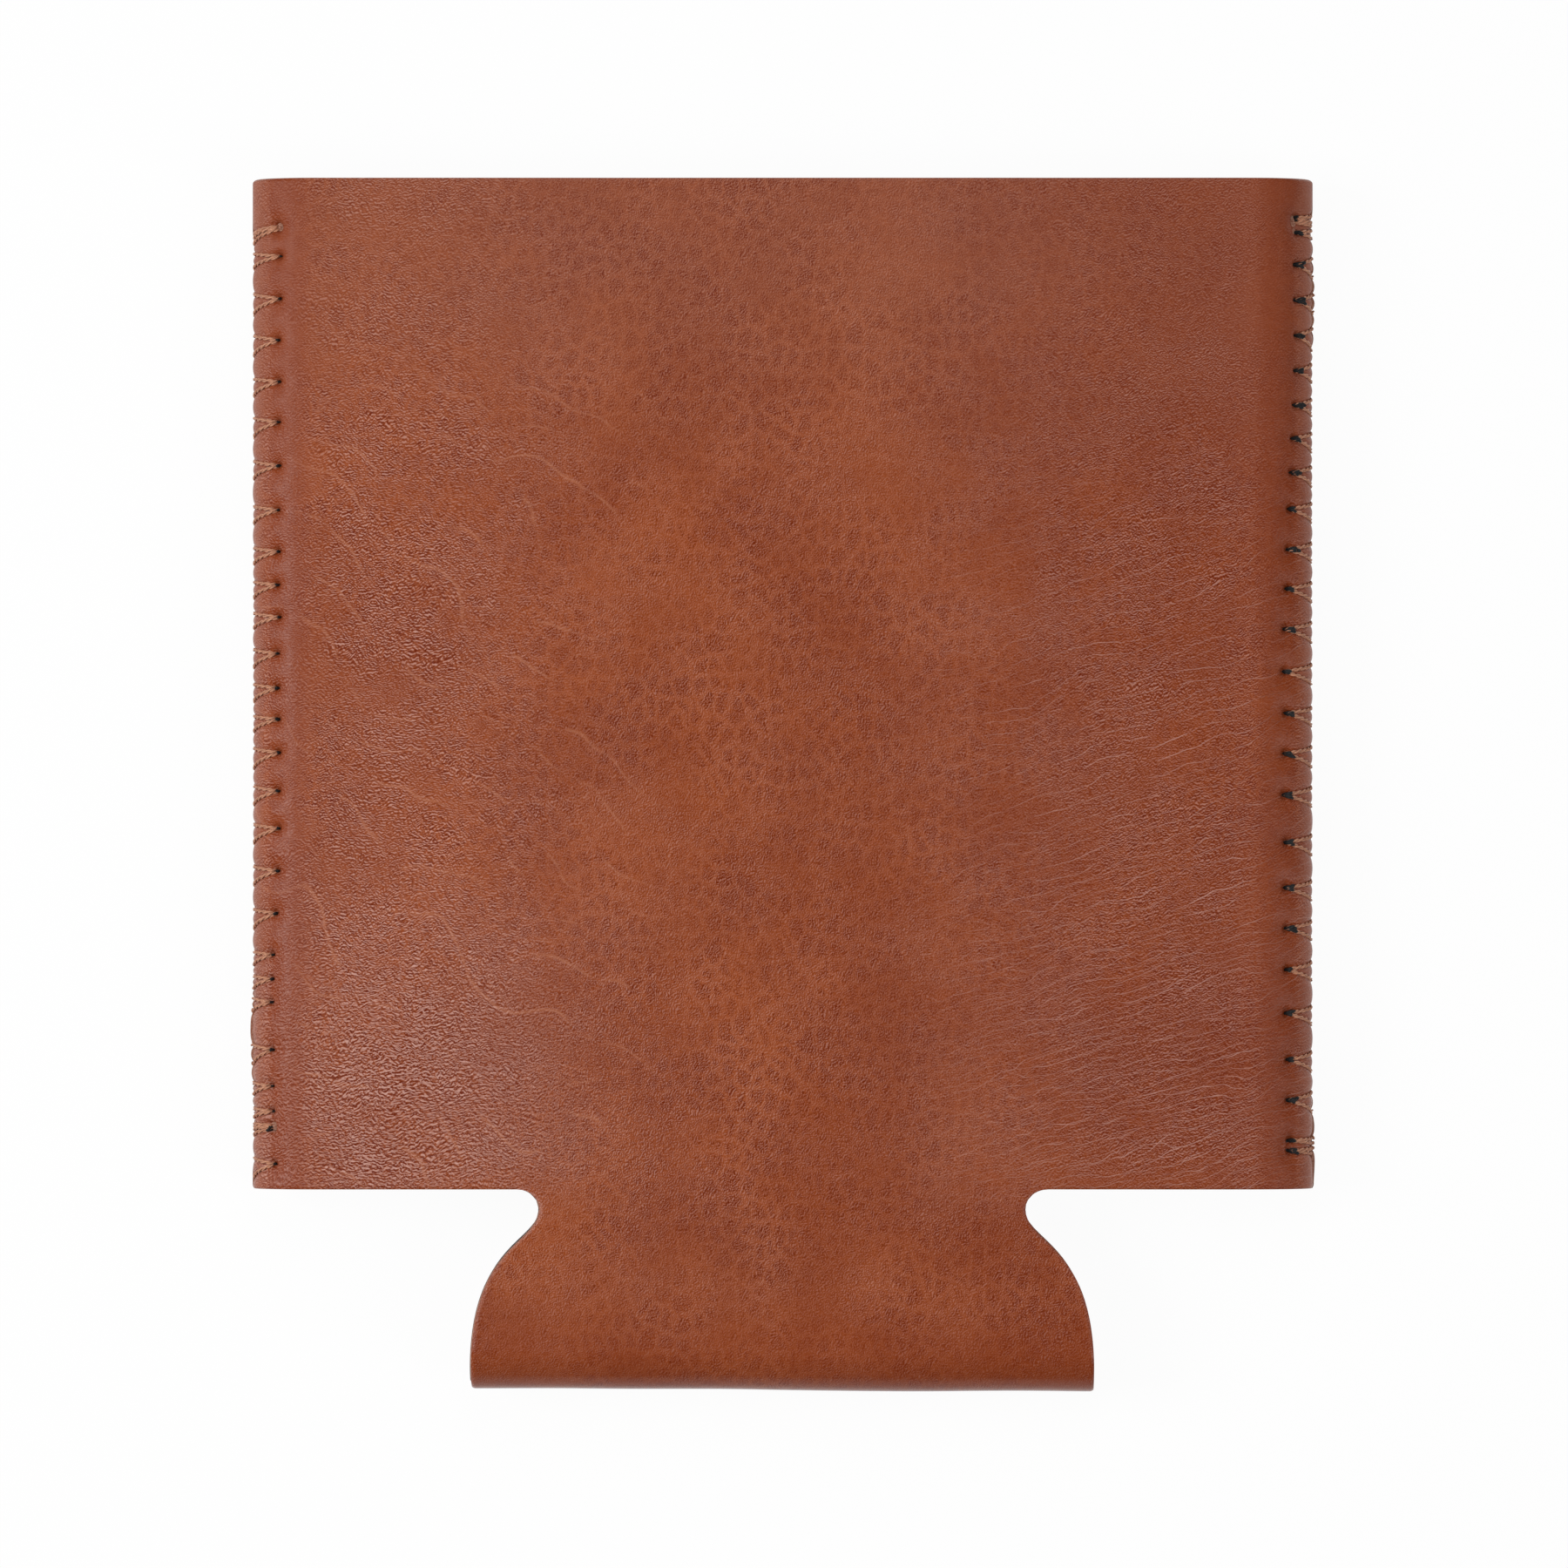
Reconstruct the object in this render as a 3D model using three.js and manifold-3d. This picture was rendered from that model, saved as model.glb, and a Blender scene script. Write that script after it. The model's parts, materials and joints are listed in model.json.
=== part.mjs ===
// Can cooler that folds flat: one leather-faced foam sheet, folded under at its tab and zigzag sewn up both sides.
// Millimetres. It lies on its back on z = 0: +X runs across it, +Y towards the mouth and +Z up through its layers.
// The sheet bends all over. Here it bends on lines: each half has a centre, two strips down each side and a tab.
// As the tab's two halves turn up into a base, the strips turn with them and the mouth opens to an oval.
import * as THREE from "three";
import { mergeVertices } from "three/addons/utils/BufferGeometryUtils.js";
import Module from "manifold-3d";

const wasm = await Module();
wasm.setup();

// Cut of the sheet, folded in half
const FLAT_WIDTH = 105; // seam edge to seam edge
const BODY_HEIGHT = 100; // mouth to the lower edge beside the neck
const TAB_LENGTH = 20; // lower edge to the outside of the fold
const TAB_WIDTH = 61.6; // across the fold
const NECK_WIDTH = 48; // on the narrowest line of the neck, where the tab turns
const NECK_DROP = 1.9; // lower edge down to that line
const CORNER_WIDTH = 2.25; // rounded inside corner, along the lower edge
const FLARE_LENGTH = 16; // neck line down to the straight sides of the tab
const FLARE_NECK_PULL = 3.6; // how far the flare's curve leans on the neck
const FLARE_TAB_PULL = 12.7; // how far it leans on the tab's sides

// Layers of the sheet
const LEATHER = 0.9;
const FOAM = 2.8;
const GLUE_LINE = 0.3; // between leather and foam
const POCKET_GAP = 0.3; // between the two foam faces when the cooler lies flat
const BEND_GAP = 0.4; // slit at each bend line
const SEAM_ROUND = 6.5; // width of the rounded edge at a seam
const FOLD_ROUND = 4.15; // length of the rounded edge at the fold

// Opening motion
const OPEN_TAB_ANGLE = 75; // degrees that each half of the tab turns
const BEND_RATIO = 0.58; // degrees that each bend line of a side turns for one degree of the tab

// Stitching
const STITCH_PITCH = 3.86;
const STITCH_INSET = 2.7; // needle line to seam edge
const SEAM_START = 4.9; // mouth to the first stitch
const SEAM_END = 2.4; // last stitch to the lower edge
const NEEDLE_THREAD = 0.5; // diameter
const NEEDLE_HOLE = 0.9; // width of a stitch where it dips into the leather
const BOBBIN_THREAD = 0.4; // diameter
const THREAD_CLEARANCE = 0.2; // between the needle thread and the leather
const BOBBIN_CLEARANCE = 0.3; // between the bobbin thread and what lies round it
const SKIVE_WIDTH = 4; // foam pared thin along a seam, where the bobbin thread lies

// Fineness of the round shapes
const ROUND_STEPS = 5;
const FLARE_STEPS = 14;
const LEG_STEPS = 5;
const THREAD_SIDES = 5;

// Places that follow from those sizes, with z counted from the middle plane between the two halves
const seamX = FLAT_WIDTH / 2;
const mouthY = (BODY_HEIGHT + TAB_LENGTH) / 2;
const lowerEdgeY = mouthY - BODY_HEIGHT;
const neckY = lowerEdgeY - NECK_DROP;
const foldY = lowerEdgeY - TAB_LENGTH;
const innerZ = POCKET_GAP / 2;
const foamTopZ = innerZ + FOAM;
const leatherBaseZ = foamTopZ + GLUE_LINE;
const outerZ = leatherBaseZ + LEATHER;
const slit = BEND_GAP / 2;

// Strip widths that keep the side seams shut while the sheet opens: the two strips of a side climb to half the
// height between front and back, as the tab's half does. They match it as it starts to open and when it is open.
const tabHalf = neckY - foldY;
const tabTurn = THREE.MathUtils.degToRad(OPEN_TAB_ANGLE);
const innerTurn = BEND_RATIO * tabTurn;
const outerTurn = 2 * innerTurn;
const weightedStrips = tabHalf / BEND_RATIO;
const outerStrip =
  (weightedStrips * Math.sin(innerTurn) - tabHalf * Math.sin(tabTurn)) /
  (2 * Math.sin(innerTurn) - Math.sin(outerTurn));
const innerStrip = weightedStrips - 2 * outerStrip;
const outerBendX = seamX - outerStrip;
const innerBendX = outerBendX - innerStrip;

const leatherLook = { color: 0x93502f, roughness: 0.45, metalness: 0 };
const foamLook = { color: 0x18181a, roughness: 0.9, metalness: 0 };
const needleLook = { color: 0xa9714a, roughness: 0.7, metalness: 0 };
const bobbinLook = { color: 0x121214, roughness: 0.7, metalness: 0 };

// A closed solid for cutting, and the way back to a geometry.
function solidOf(geometry) {
  const bare = geometry.clone();
  bare.deleteAttribute("normal");
  bare.deleteAttribute("uv");
  const merged = mergeVertices(bare);
  return new wasm.Manifold(
    new wasm.Mesh({
      numProp: 3,
      vertProperties: new Float32Array(merged.attributes.position.array),
      triVerts: new Uint32Array(merged.index.array),
    }),
  );
}

function geometryOf(solid) {
  const mesh = solid.getMesh();
  const geometry = new THREE.BufferGeometry();
  geometry.setAttribute("position", new THREE.BufferAttribute(mesh.vertProperties, 3));
  geometry.setIndex(new THREE.BufferAttribute(mesh.triVerts, 1));
  geometry.computeVertexNormals();
  return geometry;
}

// A plate with an outline in x and y, between two heights.
function plate(outline, lowZ, highZ) {
  const geometry = new THREE.ExtrudeGeometry(outline, {
    depth: highZ - lowZ,
    bevelEnabled: false,
    curveSegments: FLARE_STEPS,
  });
  return geometry.translate(0, 0, lowZ);
}

// A bar with a section in u and z, centred on its own length. Its u runs along +X and its length along Y.
function bar(section, length) {
  const geometry = new THREE.ExtrudeGeometry(section, {
    depth: length,
    bevelEnabled: false,
    curveSegments: ROUND_STEPS,
  });
  return geometry.translate(0, 0, -length / 2).rotateX(Math.PI / 2);
}

// One strip of a side, on the right (+1) or the left (-1), from the mouth to the lower edge.
function strip(section, side) {
  const geometry = bar(section, BODY_HEIGHT);
  if (side < 0) {
    geometry.rotateZ(Math.PI);
  }
  return geometry.translate(0, (mouthY + lowerEdgeY) / 2, 0);
}

function boxSection(startU, endU, lowZ, highZ) {
  const section = new THREE.Shape();
  section.moveTo(startU, lowZ);
  section.lineTo(endU, lowZ);
  section.lineTo(endU, highZ);
  section.lineTo(startU, highZ);
  section.closePath();
  return section;
}

// Where an edge curve of that rise comes down to lowZ, as its angle.
function landing(rise, lowZ) {
  return Math.asin(lowZ / rise);
}

// Leather that runs flat from startU, then curves down to the middle plane at edgeU.
function leatherEdgeSection(startU, edgeU, round) {
  const centreU = edgeU - round;
  const reach = round - LEATHER;
  const section = new THREE.Shape();
  section.moveTo(startU, outerZ);
  section.lineTo(centreU, outerZ);
  section.absellipse(centreU, 0, round, outerZ, Math.PI / 2, landing(outerZ, innerZ), true);
  section.absellipse(centreU, 0, reach, leatherBaseZ, landing(leatherBaseZ, innerZ), Math.PI / 2, false);
  section.lineTo(startU, leatherBaseZ);
  section.closePath();
  return section;
}

// Foam below that leather. Along a seam its inner face is pared back over the skive's width.
function foamEdgeSection(startU, edgeU, round, skive) {
  const centreU = edgeU - round;
  const reach = round - LEATHER - GLUE_LINE;
  const skiveZ = skive > 0 ? BOBBIN_THREAD / 2 + BOBBIN_CLEARANCE : innerZ;
  const section = new THREE.Shape();
  section.moveTo(startU, foamTopZ);
  section.lineTo(centreU, foamTopZ);
  section.absellipse(centreU, 0, reach, foamTopZ, Math.PI / 2, landing(foamTopZ, skiveZ), true);
  if (skive > 0) {
    section.lineTo(edgeU - skive + skiveZ, skiveZ);
    section.lineTo(edgeU - skive, innerZ);
  }
  section.lineTo(startU, innerZ);
  section.closePath();
  return section;
}

// Outline of the centre, with the upper part of the neck and its two rounded inside corners.
function centreOutline() {
  const edgeX = innerBendX - slit;
  const neckX = NECK_WIDTH / 2;
  const cornerX = neckX + CORNER_WIDTH;
  const cutY = neckY + slit;
  const cutTurn = Math.asin((cutY - neckY) / NECK_DROP);
  const outline = new THREE.Shape();
  outline.moveTo(-edgeX, mouthY);
  outline.lineTo(-edgeX, lowerEdgeY);
  outline.lineTo(-cornerX, lowerEdgeY);
  outline.absellipse(-cornerX, neckY, CORNER_WIDTH, NECK_DROP, Math.PI / 2, cutTurn, true);
  outline.absellipse(cornerX, neckY, CORNER_WIDTH, NECK_DROP, Math.PI - cutTurn, Math.PI / 2, true);
  outline.lineTo(edgeX, lowerEdgeY);
  outline.lineTo(edgeX, mouthY);
  outline.closePath();
  return outline;
}

// Outline of the tab: it flares from the neck line to its straight sides and runs on to the fold.
function tabOutline() {
  const neckX = NECK_WIDTH / 2;
  const tabX = TAB_WIDTH / 2;
  const topY = neckY - slit;
  const flareY = neckY - FLARE_LENGTH;
  const neckPullY = neckY - FLARE_NECK_PULL;
  const tabPullY = flareY + FLARE_TAB_PULL;
  const outline = new THREE.Shape();
  outline.moveTo(-neckX, topY);
  outline.bezierCurveTo(-neckX, neckPullY, -tabX, tabPullY, -tabX, flareY);
  outline.lineTo(-tabX, foldY);
  outline.lineTo(tabX, foldY);
  outline.lineTo(tabX, flareY);
  outline.bezierCurveTo(tabX, tabPullY, neckX, neckPullY, neckX, topY);
  outline.closePath();
  return outline;
}

// One layer of the tab: its outline, with the rounded section of the fold across it.
function tabLayer(section) {
  const across = bar(section, TAB_WIDTH).rotateZ(-Math.PI / 2);
  return geometryOf(solidOf(plate(tabOutline(), 0, outerZ)).intersect(solidOf(across)));
}

// A round thread along a row of points, closed at both ends.
function threadAlong(points, diameter) {
  const rings = points.length;
  const positions = [];
  const normal = new THREE.Vector3(0, 1, 0);
  points.forEach((point, i) => {
    const tangent = points[Math.min(i + 1, rings - 1)].clone().sub(points[Math.max(i - 1, 0)]).normalize();
    normal.addScaledVector(tangent, -normal.dot(tangent));
    if (normal.lengthSq() < 1e-6) {
      normal.set(1, 0, 0).addScaledVector(tangent, -tangent.x);
    }
    normal.normalize();
    const binormal = tangent.clone().cross(normal);
    for (let k = 0; k < THREAD_SIDES; k += 1) {
      const angle = (2 * Math.PI * k) / THREAD_SIDES;
      const corner = point.clone();
      corner.addScaledVector(normal, (Math.cos(angle) * diameter) / 2);
      corner.addScaledVector(binormal, (Math.sin(angle) * diameter) / 2);
      positions.push(corner.x, corner.y, corner.z);
    }
  });
  const faces = [];
  for (let i = 0; i + 1 < rings; i += 1) {
    for (let k = 0; k < THREAD_SIDES; k += 1) {
      const here = i * THREAD_SIDES + k;
      const beside = i * THREAD_SIDES + ((k + 1) % THREAD_SIDES);
      faces.push(here, beside, beside + THREAD_SIDES, here, beside + THREAD_SIDES, here + THREAD_SIDES);
    }
  }
  const lastRing = (rings - 1) * THREAD_SIDES;
  for (let k = 1; k + 1 < THREAD_SIDES; k += 1) {
    faces.push(0, k + 1, k);
    faces.push(lastRing, lastRing + k, lastRing + k + 1);
  }
  const geometry = new THREE.BufferGeometry();
  geometry.setAttribute("position", new THREE.Float32BufferAttribute(positions, 3));
  geometry.setIndex(faces);
  geometry.computeVertexNormals();
  return geometry;
}

// Heights of the needle's dips down a seam, on the front and the back by turns.
function dipHeights() {
  const firstY = mouthY - SEAM_START;
  const pitches = Math.floor((BODY_HEIGHT - SEAM_START - SEAM_END) / STITCH_PITCH);
  return Array.from({ length: 2 * pitches + 1 }, (_, i) => firstY - (i * STITCH_PITCH) / 2);
}

// Needle thread of one seam: it dips at the needle line on one face and crosses over the edge to the other.
function needlePath(side) {
  const lift = THREAD_CLEARANCE + NEEDLE_THREAD / 2;
  const dipTurn = Math.acos(1 - STITCH_INSET / SEAM_ROUND);
  const onEdge = (turn, y) => {
    const x = seamX - SEAM_ROUND + (SEAM_ROUND + lift) * Math.cos(turn);
    return new THREE.Vector3(side * x, y, (outerZ + lift) * Math.sin(turn));
  };
  const heights = dipHeights();
  const points = [];
  heights.forEach((y, i) => {
    const face = i % 2 === 0 ? 1 : -1;
    points.push(onEdge(face * dipTurn, y + NEEDLE_HOLE / 2), onEdge(face * dipTurn, y - NEEDLE_HOLE / 2));
    if (i + 1 < heights.length) {
      for (let k = 1; k <= LEG_STEPS; k += 1) {
        const share = k / (LEG_STEPS + 1);
        const legY = THREE.MathUtils.lerp(y - NEEDLE_HOLE / 2, heights[i + 1] + NEEDLE_HOLE / 2, share);
        points.push(onEdge(face * dipTurn * (1 - 2 * share), legY));
      }
    }
  });
  return points;
}

// Bobbin thread of one seam: it lies between the two halves, zigzag between the needle line and the edge.
function bobbinPath(side) {
  const needleX = seamX - STITCH_INSET;
  const edgeX = seamX - LEATHER - BOBBIN_CLEARANCE - BOBBIN_THREAD / 2;
  return dipHeights().map((y, i) => new THREE.Vector3(side * (i % 2 === 0 ? needleX : edgeX), y, 0));
}

function piece(name, geometry, look) {
  const mesh = new THREE.Mesh(geometry, new THREE.MeshStandardMaterial(look));
  mesh.name = name;
  return mesh;
}

// One half of the folded sheet, built facing up. The back half is the same shape, turned over about Y.
function half(word, facing) {
  const group = new THREE.Group();
  group.name = word;
  group.rotation.y = facing > 0 ? 0 : Math.PI;
  const addPair = (place, leather, foam) => {
    group.add(piece(`${word}_leather_${place}`, leather, leatherLook));
    group.add(piece(`${word}_foam_${place}`, foam, foamLook));
  };
  addPair("centre", plate(centreOutline(), leatherBaseZ, outerZ), plate(centreOutline(), innerZ, foamTopZ));
  for (const side of [-1, 1]) {
    const sideWord = side * facing > 0 ? "right" : "left";
    const innerStart = innerBendX + slit;
    const innerEnd = outerBendX - slit;
    const outerStart = outerBendX + slit;
    addPair(
      `${sideWord}_inner`,
      strip(boxSection(innerStart, innerEnd, leatherBaseZ, outerZ), side),
      strip(boxSection(innerStart, innerEnd, innerZ, foamTopZ), side),
    );
    addPair(
      `${sideWord}_outer`,
      strip(leatherEdgeSection(outerStart, seamX, SEAM_ROUND), side),
      strip(foamEdgeSection(outerStart, seamX, SEAM_ROUND, SKIVE_WIDTH), side),
    );
  }
  const tabStart = slit - neckY;
  addPair(
    "tab",
    tabLayer(leatherEdgeSection(tabStart, -foldY, FOLD_ROUND)),
    tabLayer(foamEdgeSection(tabStart, -foldY, FOLD_ROUND, 0)),
  );
  return group;
}

const cooler = new THREE.Group();
cooler.name = "can_cooler";
cooler.position.z = outerZ;
cooler.add(half("front", 1), half("back", -1));
for (const [word, side] of [["left", -1], ["right", 1]]) {
  cooler.add(piece(`${word}_needle_thread`, threadAlong(needlePath(side), NEEDLE_THREAD), needleLook));
  cooler.add(piece(`${word}_bobbin_thread`, threadAlong(bobbinPath(side), BOBBIN_THREAD), bobbinLook));
}

export default cooler;
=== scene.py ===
"""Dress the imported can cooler: grained brown leather on black foam, zigzag sewn up both sides."""

import json
import logging
import math
from dataclasses import dataclass, field
from enum import Enum
from functools import cached_property
from typing import Callable, Iterable, Sequence

import bpy
import numpy as np
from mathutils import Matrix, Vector


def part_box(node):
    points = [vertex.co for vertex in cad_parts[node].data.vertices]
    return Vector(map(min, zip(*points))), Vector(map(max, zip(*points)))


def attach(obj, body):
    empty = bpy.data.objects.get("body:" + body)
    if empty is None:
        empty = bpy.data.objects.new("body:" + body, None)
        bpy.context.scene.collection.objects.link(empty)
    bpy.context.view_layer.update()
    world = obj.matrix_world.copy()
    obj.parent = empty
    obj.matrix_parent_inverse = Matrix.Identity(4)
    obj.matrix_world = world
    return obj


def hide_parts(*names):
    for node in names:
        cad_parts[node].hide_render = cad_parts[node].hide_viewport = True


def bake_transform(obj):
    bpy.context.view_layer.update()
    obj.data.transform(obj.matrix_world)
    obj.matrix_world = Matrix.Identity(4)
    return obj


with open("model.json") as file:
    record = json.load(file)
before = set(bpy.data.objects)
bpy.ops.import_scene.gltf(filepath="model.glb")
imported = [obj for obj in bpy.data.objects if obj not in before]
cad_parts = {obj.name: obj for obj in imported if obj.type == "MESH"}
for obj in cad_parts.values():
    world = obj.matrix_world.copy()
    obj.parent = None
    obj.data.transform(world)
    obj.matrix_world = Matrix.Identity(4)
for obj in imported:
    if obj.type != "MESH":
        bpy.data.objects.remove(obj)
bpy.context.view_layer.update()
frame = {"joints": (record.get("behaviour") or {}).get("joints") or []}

LOG = logging.getLogger("can_cooler")
MM = 0.001
SHEET_MAP = "Sheet"
CLOSE_LINES = np.array([0.0, 0.05, 0.11, 0.18, 0.26, 0.36, 0.5]) * MM  # grid lines beside a cut edge
NUDGE = 0.02 * MM
CURVE_POINTS = 200
SECTION_POINTS = 500

Array = np.ndarray
Colour = tuple[float, float, float]
Span = tuple[float, ...]
Socket = bpy.types.NodeSocket
Value = float | Socket
Outputs = bpy.types.bpy_prop_collection
Material = bpy.types.Material
Piece = bpy.types.Object


class Half(Enum):
    """One half of the folded sheet: the front lies on top, the back on the table."""

    FRONT = "front"
    BACK = "back"

    @property
    def up(self) -> float:
        """Way that this half's outer face looks along Z."""
        return 1.0 if self is Half.FRONT else -1.0


class Side(Enum):
    """One side seam, as the photograph shows the cooler."""

    LEFT = "left"
    RIGHT = "right"

    @property
    def way(self) -> float:
        """Way from the middle line to this seam along X."""
        return 1.0 if self is Side.RIGHT else -1.0


class Strip(Enum):
    """A part of a half that turns as one body."""

    CENTRE = "centre"
    INNER = "inner"
    OUTER = "outer"
    TAB = "tab"

    def words(self, side: Side | None) -> str:
        """Name the strip, with its seam where it has one."""
        return f"{side.value}_{self.value}" if self in (Strip.INNER, Strip.OUTER) else self.value


def body_name(half: Half, strip: Strip, side: Side | None = None) -> str:
    """Name the body that a strip belongs to."""
    return f"{half.value}_{strip.words(side)}"


def node_name(half: Half, layer: str, strip: Strip, side: Side | None = None) -> str:
    """Name the CAD node of one layer of a strip."""
    return f"{half.value}_{layer}_{strip.words(side)}"


def smoothstep(value: Array, low: float | Array, high: float | Array) -> Array:
    """Rise smoothly from 0 at low to 1 at high."""
    t = np.clip((value - low) / (high - low), 0.0, 1.0)
    return t * t * (3.0 - 2.0 * t)


def bell(value: Array, width: float) -> Array:
    """Bell curve that is 1 at 0 and falls away over width."""
    return np.exp(-((value / width) ** 2))


def unit(vectors: Array) -> Array:
    """Scale vectors to length 1."""
    return vectors / np.maximum(np.linalg.norm(vectors, axis=-1, keepdims=True), 1e-12)


def stack(*parts: float | Array) -> Array:
    """Join coordinates into one grid of points."""
    return np.stack(np.broadcast_arrays(*parts), axis=-1)


def slopes(height: Callable[[float, float], Array]) -> list[Array]:
    """Measure the slope of a relief across and along its grid."""
    nudges = ((NUDGE, 0.0), (0.0, NUDGE))
    return [(height(du, dv) - height(-du, -dv)) / (2 * NUDGE) for du, dv in nudges]


def stations(
    start: float, end: float, step: float, start_edge: bool = False, end_edge: bool = False
) -> Array:
    """Space grid lines evenly, with close lines at a cut edge.

    Args:
        start: First line.
        end: Last line.
        step: Widest spacing.
        start_edge: Whether the first line lies on a cut edge.
        end_edge: Whether the last line lies on a cut edge.

    Returns:
        Rising positions of the lines.
    """
    low = start + CLOSE_LINES[-1] * start_edge
    high = end - CLOSE_LINES[-1] * end_edge
    even = np.linspace(low, high, max(2, round((high - low) / step) + 1))
    first = start + CLOSE_LINES[:-1] if start_edge else []
    last = end - CLOSE_LINES[-2::-1] if end_edge else []
    return np.concatenate([first, even, last])


def quads(grid: Array) -> Array:
    """Join the vertices of a grid into four-sided faces."""
    return np.stack([grid[:-1, :-1], grid[:-1, 1:], grid[1:, 1:], grid[1:, :-1]], axis=-1).reshape(-1, 4)


def mesh_object(
    name: str, points: Array, faces: Sequence[Sequence[int]], materials: Sequence[Material]
) -> Piece:
    """Make a smooth mesh object and link it to the scene.

    Args:
        name: Name of the object and its mesh.
        points: Its vertices.
        faces: Vertex numbers of its faces.
        materials: Materials of its slots.

    Returns:
        The object.
    """
    mesh = bpy.data.meshes.new(name)
    mesh.from_pydata(points.tolist(), [], faces)
    mesh.polygons.foreach_set("use_smooth", np.ones(len(faces), bool))
    for material in materials:
        mesh.materials.append(material)
    obj = bpy.data.objects.new(name, mesh)
    bpy.context.scene.collection.objects.link(obj)
    return obj


def corner_points(mesh: bpy.types.Mesh) -> Array:
    """Vertex numbers of a mesh's face corners.

    Args:
        mesh: The mesh.

    Returns:
        One number for each corner.
    """
    corners = np.zeros(len(mesh.loops), np.int32)
    mesh.loops.foreach_get("vertex_index", corners)
    return corners


def write_map(mesh: bpy.types.Mesh, places: Array) -> None:
    """Write each face corner's place on the unfolded sheet, in millimetres, as the sheet map."""
    layer = mesh.uv_layers.new(name=SHEET_MAP)
    layer.data.foreach_set("uv", (places / MM).astype(np.float32).ravel())


@dataclass(frozen=True)
class FoldedForm:
    """Sizes of the cooler lying flat; heights are counted from the plane between its halves."""

    seam_x: float
    mouth_y: float
    lower_y: float
    neck_y: float
    fold_y: float
    tab_half: float
    middle_z: float
    face_h: float
    leather: float
    pocket_h: float
    inner_bend: float
    outer_bend: float
    seam_round: float = 6.5 * MM
    neck_half: float = 24.0 * MM
    corner: float = 2.25 * MM
    flare: float = 16.0 * MM
    flare_neck_pull: float = 3.6 * MM
    flare_tab_pull: float = 12.7 * MM
    fold_piece_top: float = -50.0 * MM
    crease_half: float = 5.03 * MM
    bend_half: float = 2.6 * MM
    bend_step: float = 0.35 * MM
    neck_blend: float = 3.8 * MM

    @classmethod
    def from_frame(cls) -> "FoldedForm":
        """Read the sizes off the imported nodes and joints.

        Returns:
            The cooler's sizes.
        """
        joints = {row["name"]: row["pos_m"] for row in frame["joints"]}
        _, neck_y, middle = joints["back_tab_turn"]
        face_low, face_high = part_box("front_leather_centre")
        outer_low, outer_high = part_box("front_leather_right_outer")
        tab_low, tab_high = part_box("front_leather_tab")
        foam_low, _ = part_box("front_foam_centre")
        return cls(
            seam_x=outer_high.x,
            mouth_y=outer_high.y,
            lower_y=outer_low.y,
            neck_y=neck_y,
            fold_y=tab_low.y,
            tab_half=tab_high.x,
            middle_z=middle,
            face_h=face_high.z - middle,
            leather=face_high.z - face_low.z,
            pocket_h=foam_low.z - middle,
            inner_bend=joints["front_right_inner_bend"][0],
            outer_bend=joints["front_right_outer_bend"][0],
        )

    @property
    def fold_centre_y(self) -> float:
        """Y of the fold's round."""
        return self.fold_y + self.face_h

    @property
    def corner_x(self) -> float:
        """X where the neck's rounded corner leaves the lower edge."""
        return self.neck_half + self.corner

    @property
    def crease_split(self) -> float:
        """X where the skin of the inner crease ends and that of the outer crease starts."""
        return self.inner_bend + self.crease_half

    def crease_columns(self, low: float, high: float, at: float, step: float) -> Array:
        """Space grid lines over a crease, closer where the sheet bends.

        Args:
            low: First line.
            high: Last line.
            at: Place of the crease.
            step: Widest spacing away from the crease.

        Returns:
            Rising positions of the lines.
        """
        ends = (low, at - self.bend_half, min(high, at + self.bend_half), high)
        steps = (step, self.bend_step, step)
        spans = [span for span in zip(ends, ends[1:], steps) if span[1] > span[0]]
        return np.concatenate([*(stations(*span)[:-1] for span in spans), [high]])

    def sheet_y(self, y: Array) -> Array:
        """Distance along the unfolded sheet from the fold line, for points on the flat of a half."""
        return y - self.fold_centre_y + self.face_h * math.pi / 2

    def neck_outline(self, y: Array) -> Array:
        """Half width of the neck and tab.

        Args:
            y: Heights from the lower edge down.

        Returns:
            Half width at each height.
        """
        t = np.linspace(0.0, 1.0, CURVE_POINTS)
        weights = np.array([(1 - t) ** 3, 3 * t * (1 - t) ** 2, 3 * t**2 * (1 - t), t**3])
        pulls = (0.0, self.flare_neck_pull, self.flare - self.flare_tab_pull, self.flare)
        widths = (self.neck_half, self.neck_half, self.tab_half, self.tab_half)
        below = np.interp(self.neck_y - y, pulls @ weights, widths @ weights)
        up = np.clip((y - self.neck_y) / (self.lower_y - self.neck_y), 0.0, 1.0)
        above = self.neck_half + self.corner * (1.0 - np.sqrt(1.0 - up**2))
        return np.where(y > self.neck_y, above, below)


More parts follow.
